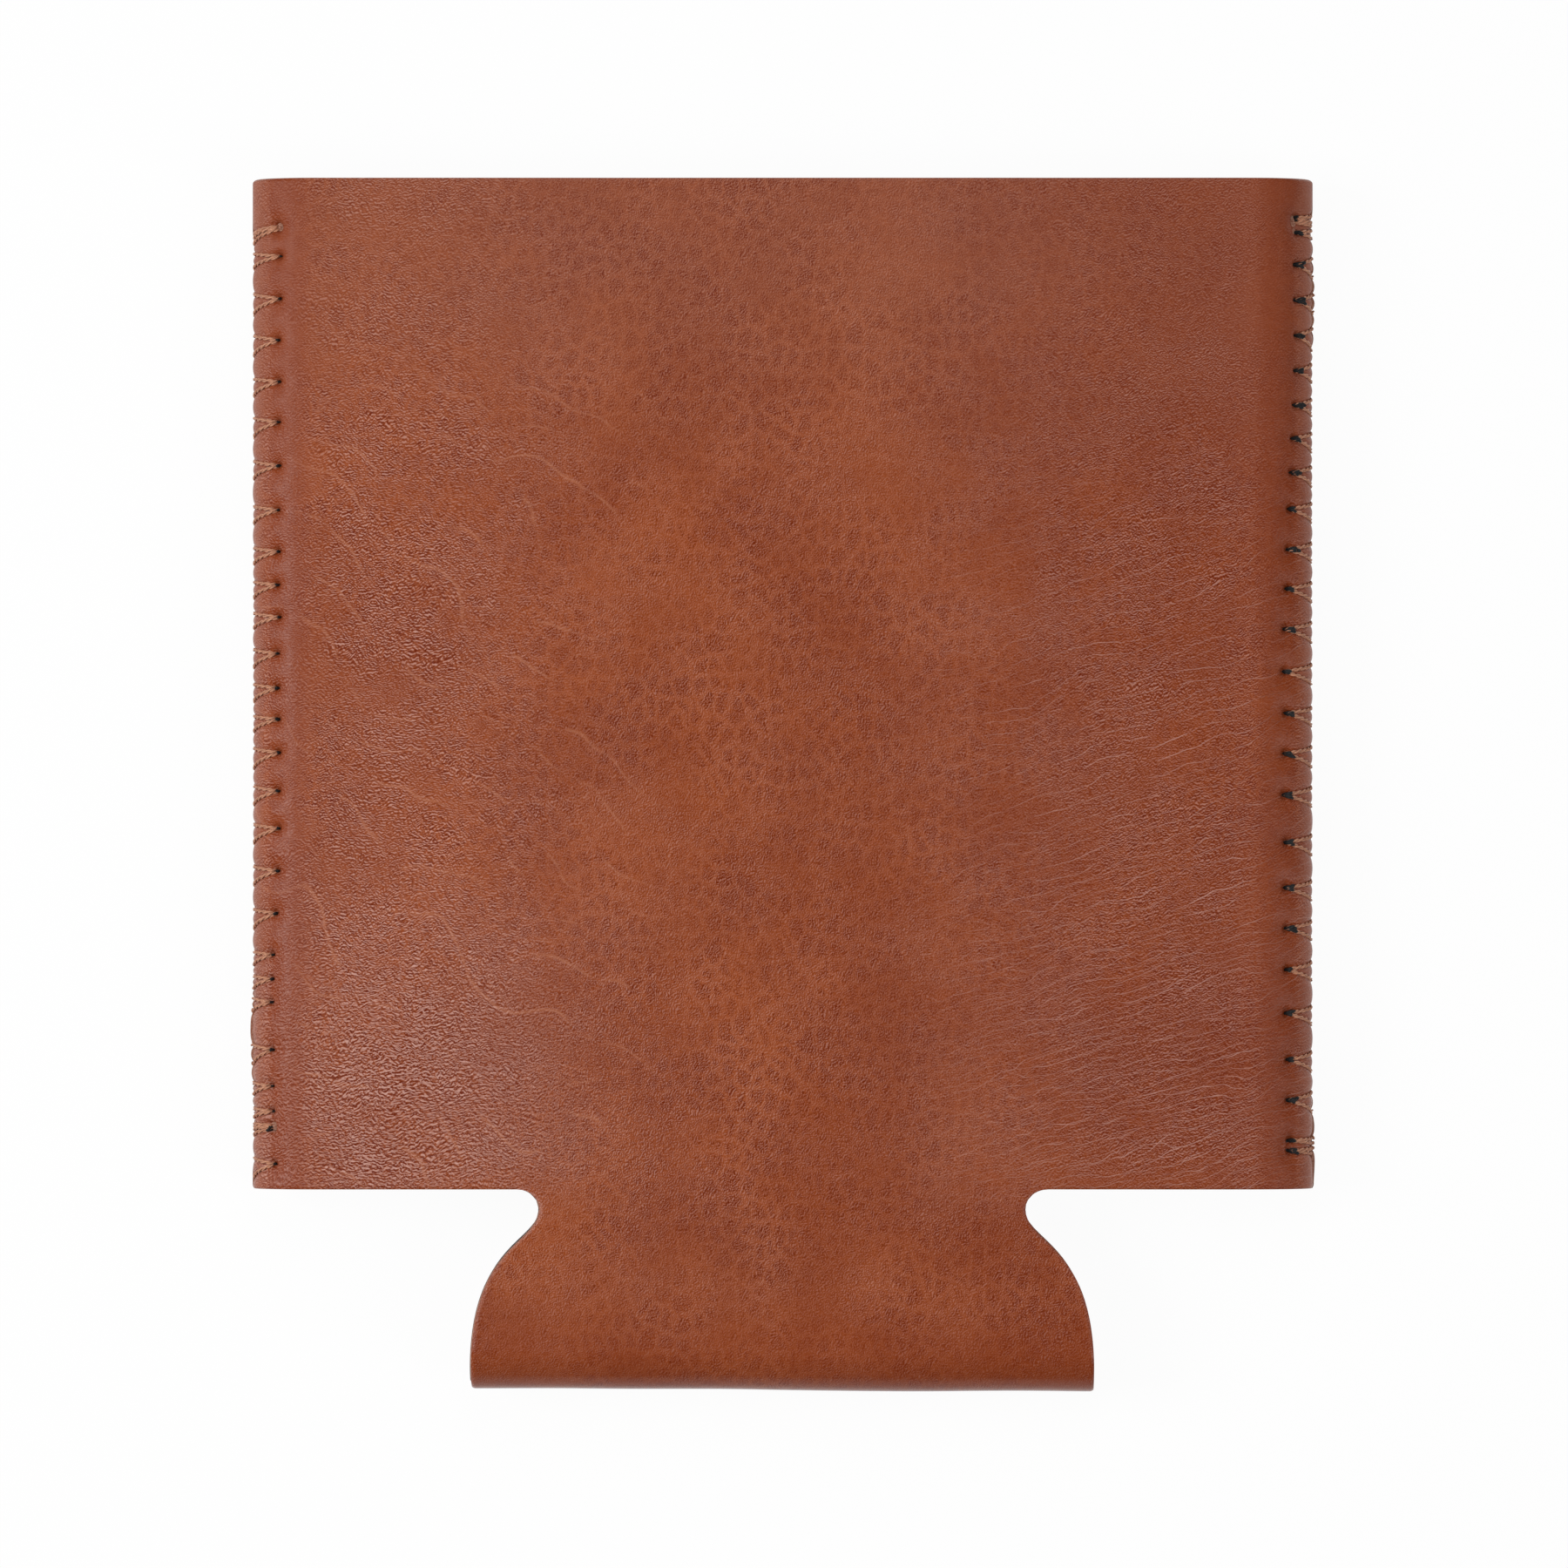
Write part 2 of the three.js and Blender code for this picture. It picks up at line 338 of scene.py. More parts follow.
class SeamSection:
    """The leather's face across a half, from the middle line round the edge to the seam."""

    def __init__(self, form: FoldedForm, inset: float = 0.0) -> None:
        """Measure the section.

        Args:
            form: Sizes of the cooler.
            inset: Depth of this layer below the leather's face.
        """
        turn = np.linspace(0.0, math.pi / 2, SECTION_POINTS)
        wide, high = form.seam_round, form.face_h
        nx, nh = np.sin(turn) / wide, np.cos(turn) / high
        size = np.hypot(nx, nh)
        self.nx, self.nh = nx / size, nh / size
        self.x = form.seam_x - wide + wide * np.sin(turn) - inset * self.nx
        self.h = high * np.cos(turn) - inset * self.nh
        steps = np.hypot(np.diff(self.x), np.diff(self.h))
        self.s = self.x[0] + np.concatenate([[0.0], np.cumsum(steps)])
        self.flat_end = float(self.x[0])
        self.length = float(self.s[-1])

    def at(self, s: Array) -> tuple[Array, Array, Array, Array]:
        """Find the section at distances from the middle line.

        Args:
            s: Distances along the face, from 0 to length.

        Returns:
            X, height, and the outward normal's X and height.
        """
        x, h, nx, nh = (np.interp(s, self.s, values) for values in (self.x, self.h, self.nx, self.nh))
        return np.where(s < self.flat_end, s, x), h, nx, nh

    def reach(self, height: float) -> float:
        """Distance from the middle line at which the face has come down to a height."""
        return float(np.interp(-height, -self.h, self.s))


@dataclass(frozen=True)
class Stitch:
    """One V of needle thread: its needle hole and where its two legs cross the seam's edge."""

    y: float
    inset: float
    rise: float
    fall: float
    loop: float = 0.0

    @property
    def legs(self) -> tuple[float, float]:
        """Heights where the two legs cross the edge."""
        return self.y + self.rise, self.y - self.fall


@dataclass
class SeamStitches:
    """The row of stitches down one side seam, on both faces; gaps, insets and strays are in millimetres."""

    side: Side
    form: FoldedForm
    section: SeamSection
    gaps: Sequence[float]
    inset_places: Sequence[float]
    insets: Sequence[float]
    first: float = 4.9 * MM
    rise: float = 0.4 * MM
    fall: float = 1.4 * MM
    loop: float = 0.2 * MM
    longer: dict[int, float] = field(default_factory=dict)
    bent: dict[int, tuple[float, float]] = field(default_factory=dict)
    extra: Sequence[tuple[int, float, float, float]] = ()
    seed: int = 5
    full_gap: float = 3.6 * MM
    inset_stray: float = 0.08
    rise_stray: float = 0.07
    fall_stray: float = 0.12
    loop_shares: Span = (0.6, 1.5)
    back_inset: float = 2.5 * MM
    back_stray: float = 0.1
    back_shares: Span = (0.42, 0.58)
    extra_shift: float = 0.12 * MM

    def __post_init__(self) -> None:
        """Lay out the front's stitches down the seam, and the back's between them."""
        rng = np.random.default_rng(self.seed)
        drops = self.first + np.cumsum([0.0, *self.gaps]) * MM
        span = self.form.mouth_y - self.form.lower_y
        front, back = [], []
        for number, drop in enumerate(drops.tolist()):
            inset = np.interp(drop / span, self.inset_places, self.insets) * MM
            gap = min(self.gaps[max(0, number - 1) : number + 1]) * MM
            share = min(1.0, gap / self.full_gap)
            rise, fall = self.bent.get(number, (self.rise * share, self.fall * share))
            stitch = Stitch(
                y=self.form.mouth_y - drop,
                inset=inset + rng.normal(0.0, self.inset_stray) * MM,
                rise=rise + rng.normal(0.0, self.rise_stray) * MM * share,
                fall=fall + rng.normal(0.0, self.fall_stray) * MM * share,
                loop=self.longer.get(number, self.loop) * rng.uniform(*self.loop_shares),
            )
            front.append(stitch)
        for above, below in zip(front, front[1:]):
            high, low = above.legs[1], below.legs[0]
            y = low + (high - low) * rng.uniform(*self.back_shares)
            inset = self.back_inset + rng.normal(0.0, self.back_stray) * MM
            back.append(Stitch(y, inset, high - y, y - low))
        for number, up, rise, fall in self.extra:
            beside = front[number]
            front.append(Stitch(beside.y + up, beside.inset - self.extra_shift, rise, fall))
        self.rows = {Half.FRONT: front, Half.BACK: back}

    def hole_s(self, stitch: Stitch) -> float:
        """Distance along the face from the middle line to a stitch's needle hole."""
        return float(np.interp(self.form.seam_x - stitch.inset, self.section.x, self.section.s))


# Heights and widths, in millimetres, of the stretches where the back's edge stands proud.
BACK_PROUD = {Side.LEFT: ((-25.0, 5.0),), Side.RIGHT: ((-36.0, 4.0), (48.0, 4.0))}
# Length in millimetres, direction and phase of the sheet's swells, the longest first.
SWELL_WAVES = ((38.0, 0.3, 0.4), (27.0, 1.9, 2.2), (21.0, 2.7, 4.0), (15.0, 1.2, 5.1), (11.0, 0.75, 1.3))


@dataclass
class LeatherRelief:
    """How far the leather's face stands off its plain folded form: swells, pinches and rolled edges."""

    form: FoldedForm
    section: SeamSection
    seams: dict[Side, SeamStitches]
    edge_roll: float = 0.14 * MM
    edge_width: float = 0.36 * MM
    groove: float = 0.2 * MM
    groove_width: float = 0.3 * MM
    hole: float = 0.42 * MM
    hole_width: float = 0.42 * MM
    pull: float = 0.28 * MM
    pull_width: float = 1.25 * MM
    scallop: float = 0.13 * MM
    scallop_width: float = 0.75 * MM
    scallop_start: float = 2.5 * MM
    edge_full: float = 0.06 * MM
    edge_start: float = 1.5 * MM
    mouth_corner: float = 0.45 * MM
    back_proud: float = 0.24 * MM
    swell: float = 0.04 * MM
    stitch_reach: float = 6.0 * MM

    def swells(self, u: Array, v: Array) -> Array:
        """Low, wide swells of a sheet that has been folded and pressed.

        Args:
            u: Distances across the unfolded sheet.
            v: Distances along it from the fold line.

        Returns:
            Height of the swells.
        """
        total = 0.0
        for length, angle, phase in SWELL_WAVES:
            along = u * math.cos(angle) + v * math.sin(angle)
            total = total + np.sin(2 * math.pi * along / (length * MM) + phase) * length / SWELL_WAVES[0][0]
        return total * self.swell

    def roll(self, distance: Array) -> Array:
        """Drop of the face towards a cut edge."""
        return -self.edge_roll * np.clip(1.0 - distance / self.edge_width, 0.0, 1.0) ** 2

    def nose(self, s: Array, start: float) -> Array:
        """Share that rises from a start on the edge's round to the seam."""
        return smoothstep(s, self.section.flat_end + start, self.section.length)

    def stitched(self, half: Half, side: Side, s: Array, y: Array) -> Array:
        """Pinches, grooves and holes that the stitches press into the edge.

        Args:
            half: Front or back.
            side: Which seam.
            s: Distances from the middle line along the face.
            y: Heights.

        Returns:
            Depth, as a negative height.
        """
        seam = self.seams[side]
        total = np.zeros(np.broadcast(s, y).shape)
        grooves, scallops = np.zeros_like(total), np.zeros_like(total)
        for stitch in seam.rows[half]:
            up = y - stitch.y
            if not (np.abs(up) < self.stitch_reach).any():
                continue
            hole = seam.hole_s(stitch)
            out, run = s - hole, self.section.length - hole
            apart = np.hypot(out, up)
            total = total - self.hole * bell(apart, self.hole_width)
            total = total - self.pull * bell(apart, self.pull_width)
            for leg_y in stitch.legs:
                climb = leg_y - stitch.y
                t = np.clip((out * run + up * climb) / (run**2 + climb**2), 0.0, 1.0)
                off = np.hypot(out - t * run, up - t * climb)
                grooves = np.maximum(grooves, bell(off, self.groove_width))
                scallops = np.maximum(scallops, bell(y - leg_y, self.scallop_width))
        return total - self.groove * grooves - self.scallop * scallops * self.nose(s, self.scallop_start)

    def body(self, half: Half, side: Side | None, u: Array, y: Array) -> Array:
        """Relief of the body, above the lower edge.

        Args:
            half: Front or back.
            side: Seam of a side strip, whose lower edge is cut; none for the centre.
            u: Distances across the sheet from the middle line, negative on the left.
            y: Heights.

        Returns:
            Height of the face above its plain form.
        """
        form = self.form
        swells = self.swells(u, half.up * form.sheet_y(y))
        total = self.roll(form.mouth_y - y)
        if side is None:
            return total + swells
        total = total + self.roll(y - form.lower_y)
        s = np.abs(u)
        if float(np.max(s)) <= self.section.flat_end - self.stitch_reach:
            return total + swells
        nose = self.nose(s, self.edge_start)
        total = total + swells + (self.edge_full - swells) * nose
        near = np.clip(1.0 - (form.mouth_y - y) / self.mouth_corner, 0.0, 1.0)
        total = total - self.mouth_corner * (1.0 - np.sqrt(1.0 - near**2)) * nose
        if half is Half.BACK:
            for middle, width in BACK_PROUD[side]:
                total = total + self.back_proud * bell(y - middle * MM, width * MM) * nose
        return total + self.stitched(half, side, s, y)


@dataclass
class Shell:
    """A closed skin: a fine outer grid, a coarser inner one and rims between them."""

    outer: Array
    inner: Array
    uv: Array
    normals: Array
    coarse: int = 4
    thickness: float = 0.9 * MM

    def __post_init__(self) -> None:
        """Choose the rows and columns that the inner grid keeps."""
        self.keep = [[*range(0, count - 1, self.coarse), count - 1] for count in self.outer.shape[:2]]

    def both(self, outer: Array, inner: Array) -> Array:
        """List values of the outer grid's points, then of the inner grid's."""
        parts = (outer, inner[np.ix_(*self.keep)])
        return np.concatenate([part.reshape(-1, part.shape[-1]) for part in parts])

    def build(self, name: str, materials: Sequence[Material], inner_slot: int, rim_slot: int) -> Piece:
        """Make the mesh object.

        Args:
            name: Name of the piece.
            materials: Materials of the slots, the outer face's first.
            inner_slot: Slot of the inner face.
            rim_slot: Slot of the rims.

        Returns:
            The new object, linked to the scene.
        """
        shape, kept = self.outer.shape[:2], [len(lines) for lines in self.keep]
        grid = np.arange(math.prod(shape)).reshape(shape)
        back = grid.size + np.arange(math.prod(kept)).reshape(kept)
        face, under = quads(grid), quads(back)[:, [0, 3, 2, 1]]  # the inner side is wound backwards
        rims = self.rims(grid, back)
        polygons = [*face.tolist(), *under.tolist(), *rims]
        first = self.outer[1, 1] - self.outer[0, 0], self.outer[1, 0] - self.outer[0, 1]
        if np.dot(np.cross(*first), self.normals[0, 0]) < 0:
            polygons = [polygon[::-1] for polygon in polygons]
        obj = mesh_object(name, self.both(self.outer, self.inner), polygons, materials)
        slots = np.repeat([0, inner_slot, rim_slot], [len(face), len(under), len(rims)])
        obj.data.polygons.foreach_set("material_index", slots.astype(np.int32))
        self.map_and_shade(obj.data, len(face) + len(under))
        return obj

    def rims(self, grid: Array, back: Array) -> list[list[int]]:
        """Close the four sides between the outer and inner grids.

        Args:
            grid: Vertex numbers of the outer grid.
            back: Vertex numbers of the inner grid.

        Returns:
            Polygons of the rims, wound as the faces are.
        """
        keep_r, keep_c = self.keep
        sides = (
            (grid[0], back[0], keep_c, True),
            (grid[-1], back[-1], keep_c, False),
            (grid[:, 0], back[:, 0], keep_r, False),
            (grid[:, -1], back[:, -1], keep_r, True),
        )
        polygons = []
        for front, behind, keep, turned in sides:
            for number, (low, high) in enumerate(zip(keep, keep[1:])):
                run = [*front[low : high + 1].tolist(), int(behind[number + 1]), int(behind[number])]
                polygons.append(run[::-1] if turned else run)
        return polygons

    def map_and_shade(self, mesh: bpy.types.Mesh, flat: int) -> None:
        """Write the sheet map and the sheet's own normals, so that no line shows where two pieces meet.

        Args:
            mesh: The shell's mesh.
            flat: Count of polygons before the rims.
        """
        corners = corner_points(mesh)
        start = mesh.polygons[flat].loop_start
        places = self.both(self.uv, self.uv)[corners]
        outside = corners[start:] < math.prod(self.outer.shape[:2])
        places[start:] = stack(places[start:].sum(axis=1), np.where(outside, 0.0, self.thickness))
        write_map(mesh, places)
        shades = self.both(self.normals, -self.normals)[corners]
        for rim in mesh.polygons[flat:]:
            shades[rim.loop_start : rim.loop_start + rim.loop_total] = rim.normal
        mesh.normals_split_custom_set(shades.tolist())


class NodeBench:
    """Adds and links the nodes of one shader tree."""

    warp_detail = 2.0
    grey = (0.5, 0.5, 0.5)

    def __init__(self, tree: bpy.types.NodeTree) -> None:
        """Work on a tree."""
        self.tree = tree

    def add(self, kind: str, inputs: dict[int | str, object] | None = None, **settings: object) -> Outputs:
        """Add a node.

        Args:
            kind: Type of the node.
            inputs: Values or sockets for its inputs, by number or name.
            settings: Its properties.

        Returns:
            The node's outputs.
        """
        node = self.tree.nodes.new(kind)
        for name, value in settings.items():
            setattr(node, name, value)
        for name, value in (inputs or {}).items():
            socket = node.inputs[name]
            if isinstance(value, Socket):
                self.tree.links.new(value, socket)
            else:
                socket.default_value = (*value, 1.0) if socket.type == "RGBA" else value
        return node.outputs

    def math(self, operation: str, *values: Value, clamp: bool = False) -> Socket:
        """Do arithmetic on values or sockets."""
        return self.add("ShaderNodeMath", dict(enumerate(values)), operation=operation, use_clamp=clamp)[0]

    def times(self, first: Value, *rest: Value) -> Value:
        """Multiply values or sockets."""
        return self.math("MULTIPLY", first, self.times(*rest)) if rest else first

    def blend(self, value: Value, scale: Value, shift: Value, clamp: bool = False) -> Socket:
        """Scale a value and add another to it."""
        return self.math("MULTIPLY_ADD", value, scale, shift, clamp=clamp)

    def vector(self, operation: str, *values: object) -> Socket:
        """Do arithmetic on vectors or sockets."""
        return self.add("ShaderNodeVectorMath", dict(enumerate(values)), operation=operation)[0]

    def ramp(self, value: Value, low: Value, high: Value, start: Value = 0.0, end: Value = 1.0) -> Socket:
        """Rise smoothly from start at low to end at high."""
        inputs = {"Value": value, "From Min": low, "From Max": high, "To Min": start, "To Max": end}
        return self.add("ShaderNodeMapRange", inputs, interpolation_type="SMOOTHSTEP")[0]

    def mix(self, share: Value, first: Colour | Socket, second: Colour | Socket) -> Socket:
        """Mix two colours, which are the Mix node's inputs 6 and 7."""
        return self.add("ShaderNodeMix", {0: share, 6: first, 7: second}, data_type="RGBA")[2]

    def between(self, share: Value, first: Value, second: Value) -> Socket:
        """Go from one value to another by a share; they are the Mix node's inputs 2 and 3."""
        return self.add("ShaderNodeMix", {0: share, 2: first, 3: second}, data_type="FLOAT")[0]

    def noise(
        self, place: Socket, scale: Value, detail: float = 3.0, rough: float = 0.55, give: str = "Fac"
    ) -> Socket:
        """Lay a flat noise over a place."""
        inputs = {"Vector": place, "Scale": scale, "Detail": detail, "Roughness": rough}
        return self.add("ShaderNodeTexNoise", inputs, noise_dimensions="2D")[give]

    def cells(self, place: Socket, feature: str, size: Value) -> Socket:
        """Lay flat cells over a place and give their distances."""
        inputs = {"Vector": place, "Scale": self.math("DIVIDE", 1.0, size)}
        return self.add("ShaderNodeTexVoronoi", inputs, voronoi_dimensions="2D", feature=feature)["Distance"]

    def combine(self, x: Value, y: Value, z: Value = 0.0) -> Socket:
        """Make a vector of three values."""
        return self.add("ShaderNodeCombineXYZ", {0: x, 1: y, 2: z})[0]

    def split(self, place: Socket) -> Outputs:
        """Take a vector apart."""
        return self.add("ShaderNodeSeparateXYZ", {0: place})

    def turn(self, place: Socket, angle: Value) -> Socket:
        """Turn a place about the sheet's upright."""
        inputs = {"Vector": place, "Angle": angle}
        return self.add("ShaderNodeVectorRotate", inputs, rotation_type="Z_AXIS")[0]

    def warp(self, place: Socket, scale: Value, reach: Value) -> Socket:
        """Push a place about by noise.

        Args:
            place: Place to push.
            scale: Scale of the noise.
            reach: How far it pushes.

        Returns:
            The pushed place.
        """
        noise = self.noise(place, scale, self.warp_detail, give="Color")
        centred = self.vector("SUBTRACT", noise, self.grey)
        scaled = self.add("ShaderNodeVectorMath", {0: centred, "Scale": reach}, operation="SCALE")[0]
        return self.vector("ADD", place, scaled)


class EffectGroup(NodeBench):
    """A shader effect that several finishes share, built once as a node group with named sockets.

    Its ramps are named by what they draw: low, high and, where it isn't 0 to 1, the range between them.
    """

    title = "Effect"
    takes: dict[str, float] = {}
    gives: Sequence[str] = ()

    def __init__(self) -> None:
        """Build the group."""
        super().__init__(bpy.data.node_groups.new(self.title, "ShaderNodeTree"))
        sockets = self.tree.interface
        sockets.new_socket("Place", in_out="INPUT", socket_type="NodeSocketVector")
        for name, value in self.takes.items():
            sockets.new_socket(name, in_out="INPUT", socket_type="NodeSocketFloat").default_value = value
        for name in self.gives:
            sockets.new_socket(name, in_out="OUTPUT", socket_type="NodeSocketFloat")
        self.given = self.add("NodeGroupInput")
        self.add("NodeGroupOutput", dict(zip(self.gives, self.wire())))

    def wire(self) -> Iterable[Socket]:
        """Wire the effect; each kind of effect has its own."""
        raise NotImplementedError


class HideGrain(EffectGroup):
    """Fine uneven bumps drawn out along one way, with masks for a highlight painted on one side of each bump
    and shade painted on the other.
    """

    title = "Hide grain"
    takes = {"Cell": 0.36, "Drawn": 1.0, "Turn": 0.0, "Wander": 0.12, "Bend": 0.0}
    gives = ("Height", "Crease", "Worn")
    bend_scale, wander_scale = 0.11, 0.9
    bumps = (1.0, 0.5, 0.4)
    beside = (0.12, 0.42, 0.0)
    foot, crown = (0.33, 0.50, 0.0, 0.50), (0.42, 0.80, 0.0, 0.50)
    # Ramps of the slope across the bumps: where shade is painted and where a highlight is painted.
    sunken, worn = (-0.02, -0.15), (0.06, 0.19)

    def wire(self) -> Iterable[Socket]:
        """Wire a drawn-out noise over a wandering place, and its slope across the bumps.

        Yields:
            Height, the side where shade is painted and the side where a highlight is painted.
        """
        given = self.given
        bent = self.warp(given["Place"], self.bend_scale, given["Bend"])
        pushed = self.warp(bent, self.wander_scale, given["Wander"])
        x, y, _ = self.split(self.turn(pushed, given["Turn"]))
        long = self.times(given["Cell"], given["Drawn"])
        scaled = self.combine(self.math("DIVIDE", x, long), self.math("DIVIDE", y, given["Cell"]))
        bumps = self.noise(scaled, *self.bumps)
        slope = self.math("SUBTRACT", bumps, self.noise(self.vector("ADD", scaled, self.beside), *self.bumps))
        yield self.math("ADD", self.ramp(bumps, *self.foot), self.ramp(bumps, *self.crown))
        # One side of each bump gets painted shade, the other a painted highlight.
        yield self.ramp(slope, *self.sunken)
        yield self.ramp(slope, *self.worn)


class Mottling(EffectGroup):
    """Uneven dye: broad light and dark patches, islands of dark pits, paler veins between, and a haze."""

    title = "Mottling"
    takes = {"Patch": 9.0, "Spot": 1.5}
    gives = ("Tone", "Spots", "Veins", "Haze")
    broad_noise, island_noise, haze_noise = (5.0, 0.6), (4.0, 0.6), (4.0, 0.55)
    island_scale, haze_scale = 1.3, 0.7
    island_shift, haze_shift = (31.0, 17.0, 5.0), (-57.0, 83.0, 11.0)
    push = (0.75, 1.3)
    squat = 0.72
    ragged_noise, ragged = (1.7, 3.0, 0.65), (0.5, -0.25)
    tone, haze = (0.34, 0.66), (0.4, 0.68)
    spot, island = (0.06, 0.28), (0.32, 0.58, 0.25, 1.0)
    vein, vein_patch = (0.12, -0.02), (0.38, 0.62, 0.15, 1.0)

    def wire(self) -> Iterable[Socket]:
        """Wire broad noises, and cells that are taller than wide.

        Yields:
            Tone, spots, veins and haze.
        """
        place = self.given["Place"]
        coarse = self.math("DIVIDE", 1.0, self.given["Patch"])
        broad = self.noise(place, coarse, *self.broad_noise)
        yield self.ramp(broad, *self.tone)
        x, y, _ = self.split(self.warp(place, *self.push))
        edge = self.cells(self.combine(x, self.times(y, self.squat)), "DISTANCE_TO_EDGE", self.given["Spot"])
        edge = self.math("ADD", edge, self.blend(self.noise(place, *self.ragged_noise), *self.ragged))
        island, far = (self.vector("ADD", place, shift) for shift in (self.island_shift, self.haze_shift))
        where = self.noise(island, self.times(coarse, self.island_scale), *self.island_noise)
        yield self.times(self.ramp(edge, *self.spot), self.ramp(where, *self.island))
        yield self.times(self.ramp(edge, *self.vein), self.ramp(broad, *self.vein_patch))
        yield self.ramp(self.noise(far, self.times(coarse, self.haze_scale), *self.haze_noise), *self.haze)


class DrawnLines(EffectGroup):
    """Fine broken lines that run one way, as in leather that has been pulled."""

    title = "Drawn lines"
    takes = {"Angle": 0.0, "Spacing": 1.6, "Length": 14.0, "Wander": 3.0, "Width": 0.08, "Kept": 0.5}
    gives = ("Line",)
    wander_rate = 0.22
    wander_noise, break_noise = (1.0, 2.0, 0.4), (1.0, 3.0, 0.6)
    break_along, break_across = 1.7, 0.9
    half_period = 0.5
    most_kept, kept_scale, break_width = 0.70, 0.6, 0.16

    def wire(self) -> Iterable[Socket]:
        """Wire wandering bands, of which only broken middles show.

        Yields:
            The lines.
        """
        given = self.given
        x, y, _ = self.split(self.turn(given["Place"], given["Angle"]))
        along = self.math("DIVIDE", x, given["Length"])
        across = self.math("DIVIDE", y, given["Spacing"])
        slow = self.noise(self.combine(along, self.times(across, self.wander_rate)), *self.wander_noise)
        phase = self.blend(slow, given["Wander"], across)
        line = self.ramp(self.math("PINGPONG", phase, self.half_period), 0.0, given["Width"], 1.0, 0.0)
        piece = self.combine(self.times(along, self.break_along), self.times(phase, self.break_across))
        least = self.math("SUBTRACT", self.most_kept, self.times(given["Kept"], self.kept_scale))
        most = self.math("ADD", least, self.break_width)
        yield self.times(line, self.ramp(self.noise(piece, *self.break_noise), least, most))


class Fibres(EffectGroup):
    """Fine fibres that run one way, and stray darker ones among them."""

    title = "Fibres"
    takes = {"Length": 1.5, "Width": 0.06}
    gives = ("Tone", "Height")
    strands, tone = (1.0, 3.0, 0.6), (0.32, 0.68)

    def wire(self) -> Iterable[Socket]:
        """Wire a drawn-out noise.

        Yields:
            Tone and height.
        """
        size = self.combine(self.given["Length"], self.given["Width"], 1.0)
        fine = self.noise(self.vector("DIVIDE", self.given["Place"], size), *self.strands)
        yield self.ramp(fine, *self.tone)
        yield fine


class Pores(EffectGroup):
    """Open cells of cut foam or fibre."""

    title = "Pores"
    takes = {"Size": 0.25}
    gives = ("Height", "Pit")
    push = (1.5, 0.15)
    wall, pit_shade = (0.1, 0.6), (0.15, 0.42, 1.0, 0.0)

    def wire(self) -> Iterable[Socket]:
        """Wire cells with sunk middles.

        Yields:
            Height, and the pits where shade is painted.
        """
        near = self.cells(self.warp(self.given["Place"], *self.push), "F1", self.given["Size"])
        yield self.ramp(near, *self.wall)
        # Shade is painted in the pits.
        yield self.ramp(near, *self.pit_shade)


@dataclass
class Effects:
    """All shared effects, built once."""

    grain: HideGrain = field(default_factory=HideGrain)
    mottling: Mottling = field(default_factory=Mottling)
    lines: DrawnLines = field(default_factory=DrawnLines)
    fibres: Fibres = field(default_factory=Fibres)
    pores: Pores = field(default_factory=Pores)


class MaterialBench(NodeBench):
    """Wires one material."""

    def __init__(self, title: str, effects: Effects | None) -> None:
        """Start an empty node material.

        Args:
            title: Name of the material.
            effects: Shared effects that it draws on.
        """
        self.material = bpy.data.materials.new(title)
        self.material.use_nodes = True
        self.material.node_tree.nodes.clear()
        self.effects = effects
        super().__init__(self.material.node_tree)

    @cached_property
    def place(self) -> Socket:
        """Place on the unfolded sheet, in millimetres."""
        return self.add("ShaderNodeUVMap", uv_map=SHEET_MAP)[0]

    def use(self, effect: EffectGroup, at: Socket, *values: float) -> Outputs:
        """Lay a shared effect over a place, with values for its other inputs in order."""
        inputs = {"Place": at, **dict(zip(effect.takes, values))}
        return self.add("ShaderNodeGroup", inputs, node_tree=effect.tree)

    def coat(self, colour: Socket, height: Socket, depth: float, rest: dict[str, Value]) -> Socket:
        """Wire a Principled shader with a bump; depth is the metres that a height of 1 stands for."""
        normal = self.add("ShaderNodeBump", {"Height": height, "Distance": depth, "Strength": 1.0})[0]
        return self.add("ShaderNodeBsdfPrincipled", {"Base Color": colour, "Normal": normal, **rest})[0]


class Finish:
    """Base of the finishes."""

    title = "finish"

    def make(self, effects: Effects | None = None) -> Material:
        """Make the finish's material.

        Args:
            effects: Shared effects that it draws on.

        Returns:
            The material.
        """
        bench = MaterialBench(self.title, effects)
        bench.add("ShaderNodeOutputMaterial", {"Surface": self.surface(bench)})
        return bench.material

    def surface(self, bench: MaterialBench) -> Socket:
        """Wire the surface's shader; each finish has its own."""
        raise NotImplementedError


